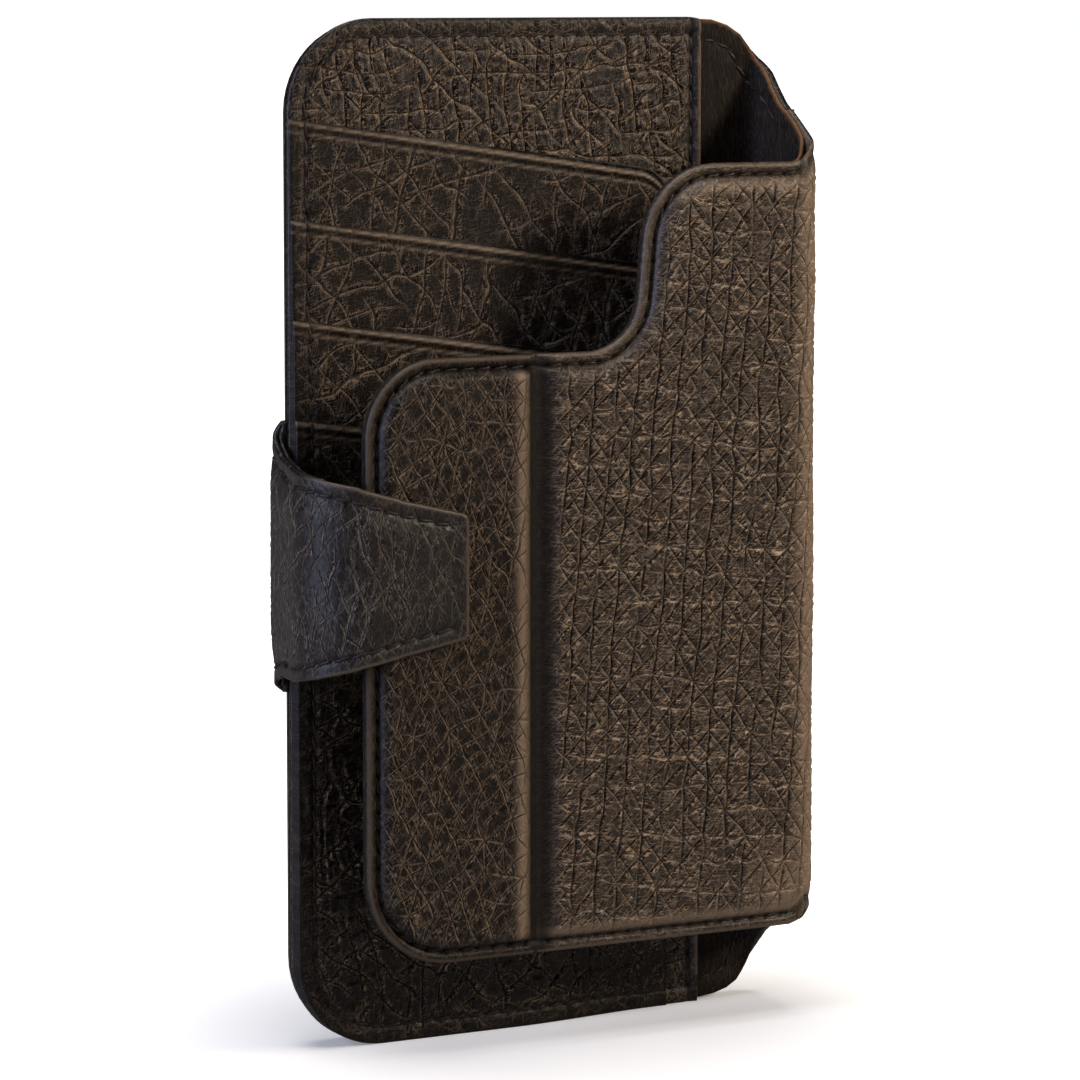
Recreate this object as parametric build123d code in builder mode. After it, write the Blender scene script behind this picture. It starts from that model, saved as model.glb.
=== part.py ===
"""Leather phone wallet case: rear cover with card pockets, spine, two-part front flap and closure strap.

The frame has its origin under the middle of the closed case, X to the right along the rear cover,
Y from the flap towards the back, and Z up. Depths are first counted from the card panel's face,
widths from the rear cover's left edge and heights from its bottom edge, all in millimetres.
"""

import os

from build123d import *

# ---------------------------------------------------------------- sheet thicknesses
leather = 1.2
lining = 0.6
board = 1.2
card_panel = 1.0
pocket_sheet = 0.6
grip_pad = 0.8
magnet = 0.6

# ---------------------------------------------------------------- rear cover
cover_width = 77.0
cover_height = 145.0
cover_corner = 13.0
cover_back = leather + board + lining + card_panel
cover_slope_start = 66.0
cover_slope_end = 137.0
card_panel_width = 65.7
turned_rim = 1.2

# ---------------------------------------------------------------- card pockets
pocket_width = 60.2
pocket_corner = 5.0
pocket_top = 131.2
pocket_step = 13.9
pocket_slope = 0.15
pocket_count = 4

# ---------------------------------------------------------------- spine and its two folds
spine_face = 77.2
cover_fold_radius = 2.0
cover_fold_x = 75.2
cover_fold_y = 2.0
fold_gap = 0.1
spine_bottom = 10.0

# ---------------------------------------------------------------- front flap
flap_left = 4.9
flap_bottom = 13.5
flap_low_top = 98.5
flap_high_top = 124.5
flap_shoulder = 49.3
flap_throat = 46.9
flap_rim_face = -14.5
flap_rim_width = 2.2
flap_fold_y = -13.7
groove_left = 29.5
groove_right = 33.2
groove_x = 31.35
groove_rod = 0.9
groove_rod_y = -13.6

# ---------------------------------------------------------------- closure strap
strap_mid = 69.3
strap_thickness = leather + lining
strap_rod = strap_thickness / 2
strap_x = -1.6
strap_root_y = 2.2
strap_root_half = 20.2
strap_bend_half = 13.7
strap_tip_x = 19.5
strap_tip_half = 8.5
strap_tip_drop = 0.8
strap_root_depth = 12.0
magnet_radius = 4.0
keeper_radius = 5.0
magnet_x = 13.2

# ---------------------------------------------------------------- thread
thread_width = 0.5
thread_proud = 0.3
cover_seam_inset = 2.25
flap_seam_inset = 1.4
strap_seam_inset = 2.0

# ---------------------------------------------------------------- depths that follow from the above
flap_face = flap_rim_face - leather
flap_lining_back = flap_rim_face + leather + lining
pad_back = flap_lining_back + grip_pad
tab_back = flap_face - 0.1
tab_front = tab_back - strap_thickness
strap_tab_y = tab_back - strap_rod
strap_outer = strap_x - strap_rod
front_limit = tab_front - thread_proud
left_limit = strap_outer - thread_proud
mid_x = (spine_face + left_limit) / 2
mid_y = (cover_back + front_limit) / 2
panel_right = cover_fold_x - cover_fold_radius - fold_gap


def facing_plane(depth):
    """Plane that looks out of the front, at this depth; extruding goes towards the front."""
    return Plane(origin=(-mid_x, depth - mid_y, 0), x_dir=(1, 0, 0), z_dir=(0, -1, 0))


def side_plane(width):
    """Plane that looks to the right, at this width; its own x runs towards the back."""
    return Plane(origin=(width - mid_x, -mid_y, 0), x_dir=(0, 1, 0), z_dir=(1, 0, 0))


def ground_plane(height):
    """Level plane at this height, with the case's own widths and depths."""
    return Plane(origin=(-mid_x, -mid_y, height), x_dir=(1, 0, 0), z_dir=(0, 0, 1))


def outline(points, radii):
    """Closed flat outline with a rounded corner at each point."""
    with BuildSketch() as shape:
        with BuildLine():
            FilletPolyline(points, radius=radii, close=True)
        make_face()
    return shape.sketch


def inset(shape, amount):
    """The same outline, smaller by this much all round."""
    with BuildSketch() as smaller:
        add(shape)
        offset(amount=-amount)
    return smaller.sketch


def window(left, right, bottom, top):
    """Upright rectangle between these widths and heights."""
    with BuildSketch() as area:
        with Locations(((left + right) / 2, (bottom + top) / 2)):
            Rectangle(right - left, top - bottom)
    return area.sketch


def seam_ring(shape, distance):
    """Narrow band that a seam follows at this distance inside an outline."""
    with BuildSketch() as band:
        add(inset(shape, distance))
        add(inset(shape, distance + thread_width), mode=Mode.SUBTRACT)
    return band.sketch


def finish_piece(piece, name):
    """Label a finished piece and write it."""
    piece.part.label = name
    export_step(piece.part, f"parts/{name}.step")


os.makedirs("parts", exist_ok=True)

# ================================================================ outlines
cover_full = outline(
    [
        (0, 0),
        (spine_face, 0),
        (spine_face, cover_slope_end),
        (cover_slope_start, cover_height),
        (0, cover_height),
    ],
    [cover_corner, 10, 5, 8, cover_corner],
)
cover_area = window(-1, panel_right, -1, cover_height + 1)
card_panel_area = window(-1, card_panel_width, -1, cover_height + 1)

flap_full = outline(
    [
        (flap_left, flap_bottom),
        (spine_face, flap_bottom),
        (spine_face, flap_high_top),
        (flap_shoulder, flap_high_top),
        (flap_throat, flap_low_top),
        (flap_left, flap_low_top),
    ],
    [13, 1, 1, 11.5, 12, 11],
)
wide_area = window(groove_x + groove_rod + fold_gap, panel_right, 0, cover_height)
narrow_area = window(0, groove_x - groove_rod - fold_gap, 0, cover_height)
wide_raised_area = window(groove_right, panel_right, 0, cover_height)
narrow_raised_area = window(0, groove_left, 0, cover_height)
flap_raised = inset(flap_full, flap_rim_width)
flap_board = inset(flap_full, flap_rim_width + 1)

tab_full = outline(
    [
        (strap_x + strap_rod + fold_gap, strap_mid - strap_bend_half),
        (8.0, strap_mid - 11.2),
        (strap_tip_x, strap_mid - strap_tip_half - strap_tip_drop),
        (strap_tip_x, strap_mid + strap_tip_half - strap_tip_drop),
        (8.0, strap_mid + 11.2),
        (strap_x + strap_rod + fold_gap, strap_mid + strap_bend_half),
    ],
    [0, 12, 1.5, 1.5, 12, 0],
)
side_rear = strap_root_y - strap_rod - fold_gap
side_front = strap_tab_y + strap_rod + fold_gap
side_full = outline(
    [
        (side_rear, strap_mid - strap_root_half),
        (side_rear, strap_mid + strap_root_half),
        (-6.0, strap_mid + 16.4),
        (side_front, strap_mid + strap_bend_half),
        (side_front, strap_mid - strap_bend_half),
        (-6.0, strap_mid - 16.4),
    ],
    [0, 0, 20, 0, 0, 20],
)

# ================================================================ rear cover
leather_front = cover_back - leather
board_front = leather_front - board
lining_front = board_front - lining
root_slot = window(
    -1, strap_root_depth, strap_mid - strap_root_half, strap_mid + strap_root_half
)

# Outer leather: a flat sheet whose edge turns forward round the board and the lining.
with BuildPart() as rear_cover_leather:
    with BuildSketch(facing_plane(cover_back)):
        add(cover_full)
        add(cover_area, mode=Mode.INTERSECT)
    extrude(amount=leather)
    with BuildSketch(facing_plane(leather_front)):
        add(cover_full)
        add(inset(cover_full, turned_rim), mode=Mode.SUBTRACT)
        add(cover_area, mode=Mode.INTERSECT)
    extrude(amount=board + lining)
    # the strap's root passes through the turned edge on the left
    with BuildSketch(facing_plane(leather_front)):
        add(root_slot)
    extrude(amount=board, mode=Mode.SUBTRACT)
finish_piece(rear_cover_leather, "rear_cover_leather")

with BuildPart() as rear_cover_board:
    with BuildSketch(facing_plane(leather_front)):
        add(inset(cover_full, turned_rim))
        add(cover_area, mode=Mode.INTERSECT)
        add(root_slot, mode=Mode.SUBTRACT)
    extrude(amount=board)
finish_piece(rear_cover_board, "rear_cover_board")

with BuildPart() as rear_lining:
    with BuildSketch(facing_plane(board_front)):
        add(inset(cover_full, turned_rim))
        add(cover_area, mode=Mode.INTERSECT)
    extrude(amount=lining)
finish_piece(rear_lining, "rear_lining")

with BuildPart() as card_base_panel:
    with BuildSketch(facing_plane(lining_front)):
        add(cover_full)
        add(card_panel_area, mode=Mode.INTERSECT)
    extrude(amount=card_panel)
finish_piece(card_base_panel, "card_base_panel")

# Each pocket lies on the one behind it, and its top edge is lower by one step.
pocket_tops = [pocket_top - pocket_step * level for level in range(pocket_count)]
for level, top in enumerate(pocket_tops):
    pocket_face = outline(
        [
            (-5, -5),
            (pocket_width, -5),
            (pocket_width, top - pocket_slope * pocket_width),
            (-5, top + pocket_slope * 5),
        ],
        [0, 0, pocket_corner, 0],
    )
    with BuildPart() as card_pocket:
        with BuildSketch(facing_plane(-pocket_sheet * level)):
            add(cover_full)
            add(pocket_face, mode=Mode.INTERSECT)
        extrude(amount=pocket_sheet)
    finish_piece(card_pocket, f"card_pocket_{level + 1}")

cover_ring = seam_ring(cover_full, cover_seam_inset)
seam_right = card_panel_width - 2.0
pocket_faces = [-pocket_sheet * (level + 1) for level in range(pocket_count)]

# The edge seam steps down with the pockets: panel top, three short runs, then the last pocket.
edge_runs = [
    (0.0, window(0, seam_right, pocket_top + 0.4, cover_height)),
    (0.0, window(pocket_width + 0.2, seam_right, 0, 5)),
    (pocket_faces[3], window(0, pocket_width - 1, 0, pocket_tops[3] - 1.4)),
]
for level in range(pocket_count - 1):
    edge_runs.append(
        (pocket_faces[level], window(0, 5, pocket_tops[level + 1] + 0.4, pocket_tops[level] - 1.4))
    )
with BuildPart() as rear_edge_thread:
    for run_face, run_area in edge_runs:
        with BuildSketch(facing_plane(run_face)):
            add(cover_ring)
            add(run_area, mode=Mode.INTERSECT)
        extrude(amount=thread_proud)
finish_piece(rear_edge_thread, "rear_edge_thread")

with BuildPart() as card_panel_seam_thread:
    with BuildSketch(facing_plane(0)):
        add(
            window(
                seam_right,
                seam_right + thread_width,
                cover_seam_inset + 0.6,
                cover_height - cover_seam_inset - 0.6,
            )
        )
    extrude(amount=thread_proud)
finish_piece(card_panel_seam_thread, "card_panel_seam_thread")

# Flat root of the strap, sewn in between the outer leather and the lining.
with BuildPart() as strap_root:
    with BuildSketch(facing_plane(leather_front)):
        add(
            window(
                strap_x + strap_rod + fold_gap,
                strap_root_depth,
                strap_mid - strap_root_half,
                strap_mid + strap_root_half,
            )
        )
    extrude(amount=board)
finish_piece(strap_root, "strap_root")

# ================================================================ rods of folded leather on the fold lines
with BuildPart() as rear_spine_fold:
    with BuildSketch(ground_plane(spine_bottom)):
        with Locations((cover_fold_x, cover_fold_y)):
            Circle(cover_fold_radius)
    extrude(amount=cover_slope_end - spine_bottom)
finish_piece(rear_spine_fold, "rear_spine_fold")

with BuildPart() as spine_flap_fold:
    with BuildSketch(ground_plane(flap_bottom)):
        with Locations((cover_fold_x, flap_fold_y)):
            Circle(cover_fold_radius)
    extrude(amount=flap_high_top - flap_bottom)
finish_piece(spine_flap_fold, "spine_flap_fold")

with BuildPart() as flap_groove_fold:
    with BuildSketch(ground_plane(flap_bottom)):
        with Locations((groove_x, groove_rod_y)):
            Circle(groove_rod)
    extrude(amount=flap_low_top - flap_bottom)
finish_piece(flap_groove_fold, "flap_groove_fold")

with BuildPart() as strap_root_fold:
    with BuildSketch(ground_plane(strap_mid - strap_root_half)):
        with Locations((strap_x, strap_root_y)):
            Circle(strap_rod)
    extrude(amount=2 * strap_root_half)
finish_piece(strap_root_fold, "strap_root_fold")

with BuildPart() as strap_tab_fold:
    with BuildSketch(ground_plane(strap_mid - strap_bend_half)):
        with Locations((strap_x, strap_tab_y)):
            Circle(strap_rod)
    extrude(amount=2 * strap_bend_half)
finish_piece(strap_tab_fold, "strap_tab_fold")

# ================================================================ spine
spine_rear = cover_fold_y - cover_fold_radius - fold_gap
spine_front = flap_fold_y + cover_fold_radius + fold_gap
spine_side = outline(
    [
        (spine_rear, spine_bottom),
        (spine_rear, cover_slope_end),
        (-10.8, 128.0),
        (spine_front, 127.0),
        (spine_front, flap_bottom - 0.5),
    ],
    [0, 0, 0, 0, 0],
)

with BuildPart() as spine_leather:
    with BuildSketch(side_plane(spine_face - leather)):
        add(spine_side)
    extrude(amount=leather)
finish_piece(spine_leather, "spine_leather")

with BuildPart() as spine_lining:
    with BuildSketch(side_plane(spine_face - leather - lining)):
        add(spine_side)
    extrude(amount=lining)
finish_piece(spine_lining, "spine_lining")


# ================================================================ front flap
def flap_leather_piece(rim_area, raised_area):
    """Outer leather of one flap panel: raised face, turned rim, and room for its board."""
    with BuildPart() as piece:
        with BuildSketch(facing_plane(flap_rim_face)):
            add(flap_raised)
            add(raised_area, mode=Mode.INTERSECT)
        extrude(amount=leather)
        with BuildSketch(facing_plane(flap_rim_face + leather)):
            add(flap_full)
            add(rim_area, mode=Mode.INTERSECT)
        extrude(amount=leather)
        with BuildSketch(facing_plane(flap_rim_face + leather)):
            add(flap_board)
            add(inset(raised_area, 1.2), mode=Mode.INTERSECT)
        extrude(amount=leather, mode=Mode.SUBTRACT)
    return piece


flap_wide_leather = flap_leather_piece(wide_area, wide_raised_area)
finish_piece(flap_wide_leather, "flap_wide_leather")

flap_narrow_leather = flap_leather_piece(narrow_area, narrow_raised_area)
finish_piece(flap_narrow_leather, "flap_narrow_leather")

with BuildPart() as flap_wide_board:
    with BuildSketch(facing_plane(flap_rim_face + leather)):
        add(flap_board)
        add(inset(wide_raised_area, 1.2), mode=Mode.INTERSECT)
    extrude(amount=board)
finish_piece(flap_wide_board, "flap_wide_board")

# Steel keeper let into the narrow board, behind the strap's magnet.
magnet_centre = (magnet_x, strap_mid - strap_tip_drop / 2)
with BuildPart() as flap_narrow_board:
    with BuildSketch(facing_plane(flap_rim_face + leather)):
        add(flap_board)
        add(inset(narrow_raised_area, 1.2), mode=Mode.INTERSECT)
    extrude(amount=board)
    with BuildSketch(facing_plane(flap_rim_face + magnet)):
        with Locations(magnet_centre):
            Circle(keeper_radius)
    extrude(amount=magnet, mode=Mode.SUBTRACT)
finish_piece(flap_narrow_board, "flap_narrow_board")

with BuildPart() as closure_keeper_plate:
    with BuildSketch(facing_plane(flap_rim_face + magnet)):
        with Locations(magnet_centre):
            Circle(keeper_radius)
    extrude(amount=magnet)
finish_piece(closure_keeper_plate, "closure_keeper_plate")

with BuildPart() as flap_wide_lining:
    with BuildSketch(facing_plane(flap_lining_back)):
        add(flap_full)
        add(wide_area, mode=Mode.INTERSECT)
    extrude(amount=lining)
finish_piece(flap_wide_lining, "flap_wide_lining")

with BuildPart() as flap_narrow_lining:
    with BuildSketch(facing_plane(flap_lining_back)):
        add(flap_full)
        add(narrow_area, mode=Mode.INTERSECT)
    extrude(amount=lining)
finish_piece(flap_narrow_lining, "flap_narrow_lining")

# Reusable grip pad that carries the phone on the wide panel's inner face.
with BuildPart() as phone_grip_pad:
    with BuildSketch(facing_plane(pad_back)):
        with Locations((54.0, 56.0)):
            RectangleRounded(34.0, 72.0, 4.0)
    extrude(amount=grip_pad)
finish_piece(phone_grip_pad, "phone_grip_pad")

flap_ring = seam_ring(flap_full, flap_seam_inset)
with BuildPart() as flap_wide_thread:
    with BuildSketch(facing_plane(flap_rim_face)):
        add(flap_ring)
        add(
            window(groove_right, panel_right - 0.5, 0, cover_height),
            mode=Mode.INTERSECT,
        )
    extrude(amount=thread_proud)
finish_piece(flap_wide_thread, "flap_wide_thread")

with BuildPart() as flap_narrow_thread:
    with BuildSketch(facing_plane(flap_rim_face)):
        add(flap_ring)
        add(window(0, groove_left, 0, cover_height), mode=Mode.INTERSECT)
    extrude(amount=thread_proud)
finish_piece(flap_narrow_thread, "flap_narrow_thread")

# ================================================================ closure strap
with BuildPart() as strap_side_leather:
    with BuildSketch(side_plane(strap_outer)):
        add(side_full)
    extrude(amount=leather)
finish_piece(strap_side_leather, "strap_side_leather")

with BuildPart() as strap_side_lining:
    with BuildSketch(side_plane(strap_outer + leather)):
        add(side_full)
    extrude(amount=lining)
finish_piece(strap_side_lining, "strap_side_lining")

with BuildPart() as strap_side_thread:
    with BuildSketch(side_plane(strap_outer - thread_proud)):
        add(seam_ring(side_full, strap_seam_inset))
        add(
            window(side_front + 0.4, side_rear - 3.2, 0, cover_height),
            mode=Mode.INTERSECT,
        )
        add(
            window(side_front, side_rear, strap_mid - 9, strap_mid + 9),
            mode=Mode.SUBTRACT,
        )
    extrude(amount=thread_proud)
finish_piece(strap_side_thread, "strap_side_thread")

with BuildPart() as strap_tab_leather:
    with BuildSketch(facing_plane(tab_front + leather)):
        add(tab_full)
    extrude(amount=leather)
    with BuildSketch(facing_plane(tab_front + leather)):
        with Locations(magnet_centre):
            Circle(magnet_radius)
    extrude(amount=magnet, mode=Mode.SUBTRACT)
finish_piece(strap_tab_leather, "strap_tab_leather")

with BuildPart() as strap_magnet:
    with BuildSketch(facing_plane(tab_front + leather)):
        with Locations(magnet_centre):
            Circle(magnet_radius)
    extrude(amount=magnet)
finish_piece(strap_magnet, "strap_magnet")

with BuildPart() as strap_tab_lining:
    with BuildSketch(facing_plane(tab_back)):
        add(tab_full)
    extrude(amount=lining)
finish_piece(strap_tab_lining, "strap_tab_lining")

with BuildPart() as strap_tab_thread:
    with BuildSketch(facing_plane(tab_front)):
        add(seam_ring(tab_full, strap_seam_inset))
        add(
            window(strap_x + strap_rod + 3.0, strap_tip_x - 2.8, 0, cover_height),
            mode=Mode.INTERSECT,
        )
    extrude(amount=thread_proud)
finish_piece(strap_tab_thread, "strap_tab_thread")
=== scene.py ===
"""Looks for the leather phone wallet case: sheets of grained leather, padded flap, strap and sewn seams."""

import math

import bpy
import numpy as np
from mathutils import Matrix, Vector
from mathutils.geometry import delaunay_2d_cdt


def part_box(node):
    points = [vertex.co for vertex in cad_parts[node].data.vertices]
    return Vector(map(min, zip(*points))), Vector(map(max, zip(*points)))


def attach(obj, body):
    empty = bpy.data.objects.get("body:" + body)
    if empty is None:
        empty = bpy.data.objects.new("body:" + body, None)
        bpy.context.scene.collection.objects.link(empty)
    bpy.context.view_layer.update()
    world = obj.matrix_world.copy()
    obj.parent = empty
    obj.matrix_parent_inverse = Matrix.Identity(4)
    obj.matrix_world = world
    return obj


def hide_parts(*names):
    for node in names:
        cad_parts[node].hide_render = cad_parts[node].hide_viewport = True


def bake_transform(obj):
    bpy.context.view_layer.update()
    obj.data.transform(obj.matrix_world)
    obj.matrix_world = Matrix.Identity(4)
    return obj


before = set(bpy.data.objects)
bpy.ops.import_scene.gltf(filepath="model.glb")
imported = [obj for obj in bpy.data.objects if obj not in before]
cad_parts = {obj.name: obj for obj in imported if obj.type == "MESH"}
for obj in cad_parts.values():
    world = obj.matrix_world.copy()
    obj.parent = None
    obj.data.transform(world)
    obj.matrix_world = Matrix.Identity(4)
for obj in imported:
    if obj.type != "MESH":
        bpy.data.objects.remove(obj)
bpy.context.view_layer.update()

# The case's own measures are in millimetres from the rear cover's left, bottom edge; the card
# panel's face is at depth 0 and depths grow towards the back.
COVER_LOW, COVER_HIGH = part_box("rear_cover_leather")
BACK = 4.0
ORIGIN = np.array([COVER_LOW.x * 1000, COVER_HIGH.y * 1000 - BACK, COVER_LOW.z * 1000])
LEATHER = 1.2
LINING = 0.6
PAD = 1.2
COVER_TOP = 145
SPINE_FACE = 77.2
SPINE_MID = -7
SPINE_TOP = 131.7
SPINE_LOW = 11.8
FLAP_FACE = -15.7
FLAP_LEFT = 4.9
FLAP_LOW = 13.5
FLAP_STEP = 98.5
FLAP_HIGH = 124.5
GROOVE_X = 31.35
STRAP_MID = 69.3

# How far inside the edge each seam runs, and the length of a stitch.
FLAP_SEAM = 1.75
COVER_SEAM = 2.5
BACK_SEAM = 3.7
STRAP_SEAM = 2.1
STITCH = 2.6


# ------------------------------------------------------------------ numbers: noise and soft steps
def hashed(i, j, seed):
    """Repeatable numbers from 0 to 1 for whole-number lattice places."""
    h = (i.astype(np.int64) * 374761393 + j.astype(np.int64) * 668265263 + seed * 974634777) & 0xFFFFFFFF
    h = ((h ^ (h >> 13)) * 1274126177) & 0xFFFFFFFF
    h = ((h ^ (h >> 16)) * 2246822519) & 0xFFFFFFFF
    return ((h ^ (h >> 15)) & 0xFFFFFF) / float(0xFFFFFF)


def noise(x, y, size, seed):
    """Smooth noise from -1 to 1 with features of this size in millimetres."""
    x = x / size
    y = y / size
    i = np.floor(x)
    j = np.floor(y)
    u = x - i
    v = y - j
    u = u * u * u * (u * (u * 6 - 15) + 10)
    v = v * v * v * (v * (v * 6 - 15) + 10)
    a = hashed(i, j, seed)
    b = hashed(i + 1, j, seed)
    c = hashed(i, j + 1, seed)
    d = hashed(i + 1, j + 1, seed)
    return 2 * ((a * (1 - u) + b * u) * (1 - v) + (c * (1 - u) + d * u) * v) - 1


def cells(x, y, seed):
    """Distance in millimetres to the nearest border of a jittered pattern of small cells."""
    basis = np.array([(1.3, 0.3), (-0.3, 1.35)]).T
    inverse = np.linalg.inv(basis)
    i = np.floor(inverse[0, 0] * x + inverse[0, 1] * y)
    j = np.floor(inverse[1, 0] * x + inverse[1, 1] * y)
    best = np.full(x.shape, 1e9)
    second = np.full(x.shape, 1e9)
    bx, by, sx, sy = np.zeros((4, *x.shape))
    for di in (-1, 0, 1):
        for dj in (-1, 0, 1):
            px = i + di + 0.5 + 0.9 * (hashed(i + di, j + dj, seed) - 0.5)
            py = j + dj + 0.5 + 0.9 * (hashed(i + di, j + dj, seed + 7) - 0.5)
            qx = basis[0, 0] * px + basis[0, 1] * py
            qy = basis[1, 0] * px + basis[1, 1] * py
            d = (x - qx) ** 2 + (y - qy) ** 2
            nearer = d < best
            middle = ~nearer & (d < second)
            sx = np.where(nearer, bx, np.where(middle, qx, sx))
            sy = np.where(nearer, by, np.where(middle, qy, sy))
            second = np.where(nearer, best, np.where(middle, d, second))
            bx = np.where(nearer, qx, bx)
            by = np.where(nearer, qy, by)
            best = np.where(nearer, d, best)
    gap = np.sqrt((bx - sx) ** 2 + (by - sy) ** 2) + 1e-9
    return (second - best) / (2 * gap)


def smooth(t):
    """A soft step from 0 at 0 to 1 at 1."""
    t = np.clip(t, 0, 1)
    return t * t * (3 - 2 * t)


def bell(value, middle, width):
    """1 where the value is at the middle, falling off softly over this width."""
    return np.exp(-(((value - middle) / width) ** 2))


# ------------------------------------------------------------------ grain of each kind of leather
def wandering(*families):
    """Crease lines that wander on their own, as (angle, spacing, wander) families.

    Each family gives a value whose whole numbers are the lines, the gap between lines, and their strength.
    The value grows towards the lower left, so that the pale bank of a crease, a painted highlight, can sit on
    that side, which faces the light.
    """

    def lines(x, y, seed):
        out = []
        for k, (angle, spacing, wander) in enumerate(families):
            c = math.cos(math.radians(angle))
            s = math.sin(math.radians(angle))
            own = seed + 100 * k
            across = -x * s + y * c
            across = across + wander * noise(x, y, 7.0, own)
            across = across + 0.45 * wander * noise(x, y, 2.6, own + 1)
            across = across + 0.8 * noise(x, y, 10.0, seed)
            value = across / spacing * (1 if s > 0.6 * c else -1)
            number = np.round(value)
            ragged = noise(x * c + y * s + 37 * number, number * 9.1, 5.5, own + 3)
            out.append((value, spacing, smooth(0.70 + 1.1 * ragged)))
        return out

    return lines


def lattice(up, across, warp, size, whole):
    """Lines through the points of a warped lattice: upright, level and both slants, crossing in stars."""
    up = np.array(up)
    across = np.array(across)

    def lines(x, y, seed):
        wx = x + warp * noise(x, y, size, seed) + 0.30 * warp * noise(x, y, 0.33 * size, seed + 1)
        wy = y + warp * noise(x, y, size, seed + 2) + 0.30 * warp * noise(x, y, 0.33 * size, seed + 3)
        inverse = np.linalg.inv(np.array([up, across], float).T)
        u = inverse[0, 0] * wx + inverse[0, 1] * wy
        v = inverse[1, 0] * wx + inverse[1, 1] * wy
        area = abs(up[0] * across[1] - up[1] * across[0])
        families = ((-v, up), (-u, across), (u - v, up + across), (-u - v, up - across))
        out = []
        for k, (value, way) in enumerate(families):
            value = value + (0.20 if k == 1 else 0.07) * noise(x, y, 2.4, seed + 10 + k)
            number = np.round(value)
            ragged = noise(x + 17 * number, y - 11 * number, 3.8, seed + 20 + k)
            out.append((value, area / np.linalg.norm(way), smooth(whole[k] + 0.75 * ragged)))
        return out

    return lines


def grained(lines, depths, width, seed, fine):
    """A kind of leather's relief: the depths and width of its creases and the depth of its small wrinkles."""

    def run(x, y, seed=seed):
        height = np.zeros_like(x)
        groove = np.zeros_like(x)
        shore = np.zeros_like(x)
        for (value, gap, strength), depth in zip(lines(x, y, seed), depths):
            distance = np.abs(value - np.round(value)) * gap
            groove = np.maximum(groove, depth * strength * bell(distance, 0, width))
            height += 0.38 * depth * strength * bell(distance, 2.1 * width, 1.2 * width)
            shore = np.maximum(shore, strength * bell(distance, 0, 3.5 * width))
        height = height * (1 - smooth(groove / (0.5 * max(depths)))) - groove
        wx = x + 0.3 * noise(x, y, 1.6, seed + 7)
        wy = y + 0.3 * noise(x, y, 1.6, seed + 8)
        height -= fine * bell(cells(wx, wy, seed + 70), 0, 0.2) * (0.15 + shore)
        height += 0.5 * fine * noise(x, y, 2.6, seed + 95) + 0.35 * fine * noise(x, y, 0.9, seed + 96) * shore
        return height

    run.lines = lines
    return run


grain_wide = grained(
    lattice((0.35, 3.75), (3.4, -0.35), 0.55, 8.5, (0.95, 0.75, 1.05, 0.60)),
    (0.26, 0.17, 0.30, 0.21), 0.22, 11, 0.03,
)
grain_narrow = grained(
    lattice((0.9, 3.6), (3.0, -0.5), 0.95, 8.0, (0.7, 0.3, 0.85, 0.85)),
    (0.08, 0.05, 0.10, 0.10), 0.19, 211, 0.03,
)
grain_cover = grained(
    wandering((97, 2.5, 0.9), (140, 3.4, 1.1), (42, 3.6, 1.1), (5, 3.1, 0.9)),
    (0.34, 0.27, 0.21, 0.18), 0.28, 411, 0.06,
)
grain_pocket = grained(
    wandering((78, 3.9, 1.1), (128, 3.5, 1.1), (20, 3.9, 1.1)),
    (0.09, 0.10, 0.08), 0.22, 611, 0.03,
)
grain_fine = grained(
    wandering((80, 2.0, 0.9), (118, 2.4, 1.0), (48, 2.6, 1.0)),
    (0.05, 0.045, 0.04), 0.17, 811, 0.03,
)


def grain_brushed(x, z, d):
    """Lining leather with a fine upright nap: its relief, its dark marks and how much pale shows."""
    height = 0.02 * noise(x, z * 0.2, 0.55, 911) + 0.03 * noise(x, z * 0.35, 1.6, 912)
    crease = 0.3 * smooth(0.5 + noise(x, z * 0.25, 1.0, 913))
    return height, crease, crease * 0.4


# ------------------------------------------------------------------ outlines
def rounded(points, radii, turn=5.0):
    """Corner-rounded closed outline, counter-clockwise, as few points as the arcs need."""
    points = [np.array(p, float) for p in points]
    out = []
    for i, (p, r) in enumerate(zip(points, radii)):
        if r <= 0:
            out.append(p)
            continue
        a = points[i - 1] - p
        b = points[(i + 1) % len(points)] - p
        room = 0.48 * min(np.linalg.norm(a), np.linalg.norm(b))
        a /= np.linalg.norm(a)
        b /= np.linalg.norm(b)
        half = math.acos(float(np.clip(a @ b, -1, 1))) / 2
        r = min(r, room * math.tan(half))
        centre = p + (a + b) / np.linalg.norm(a + b) * r / math.sin(half)
        first = p + a * r / math.tan(half) - centre
        last = p + b * r / math.tan(half) - centre
        a0 = math.atan2(first[1], first[0])
        sweep = (math.atan2(last[1], last[0]) - a0 + math.pi) % (2 * math.pi) - math.pi
        steps = max(2, int(abs(math.degrees(sweep)) / turn))
        for k in range(steps + 1):
            angle = a0 + sweep * k / steps
            out.append(centre + r * np.array([math.cos(angle), math.sin(angle)]))
    out = np.array(out)
    area = np.sum(out[:, 0] * np.roll(out[:, 1], -1) - out[:, 1] * np.roll(out[:, 0], -1))
    return out if area > 0 else out[::-1]


def left_of(outline, limit):
    """The part of an outline to the left of an upright cut."""
    out = []
    for p, q in zip(outline, np.roll(outline, -1, axis=0)):
        dp = limit - p[0]
        dq = limit - q[0]
        if dp >= 0:
            out.append(p)
        if dp * dq < 0:
            out.append(p + (q - p) * dp / (dp - dq))
    return np.array(out)


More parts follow.
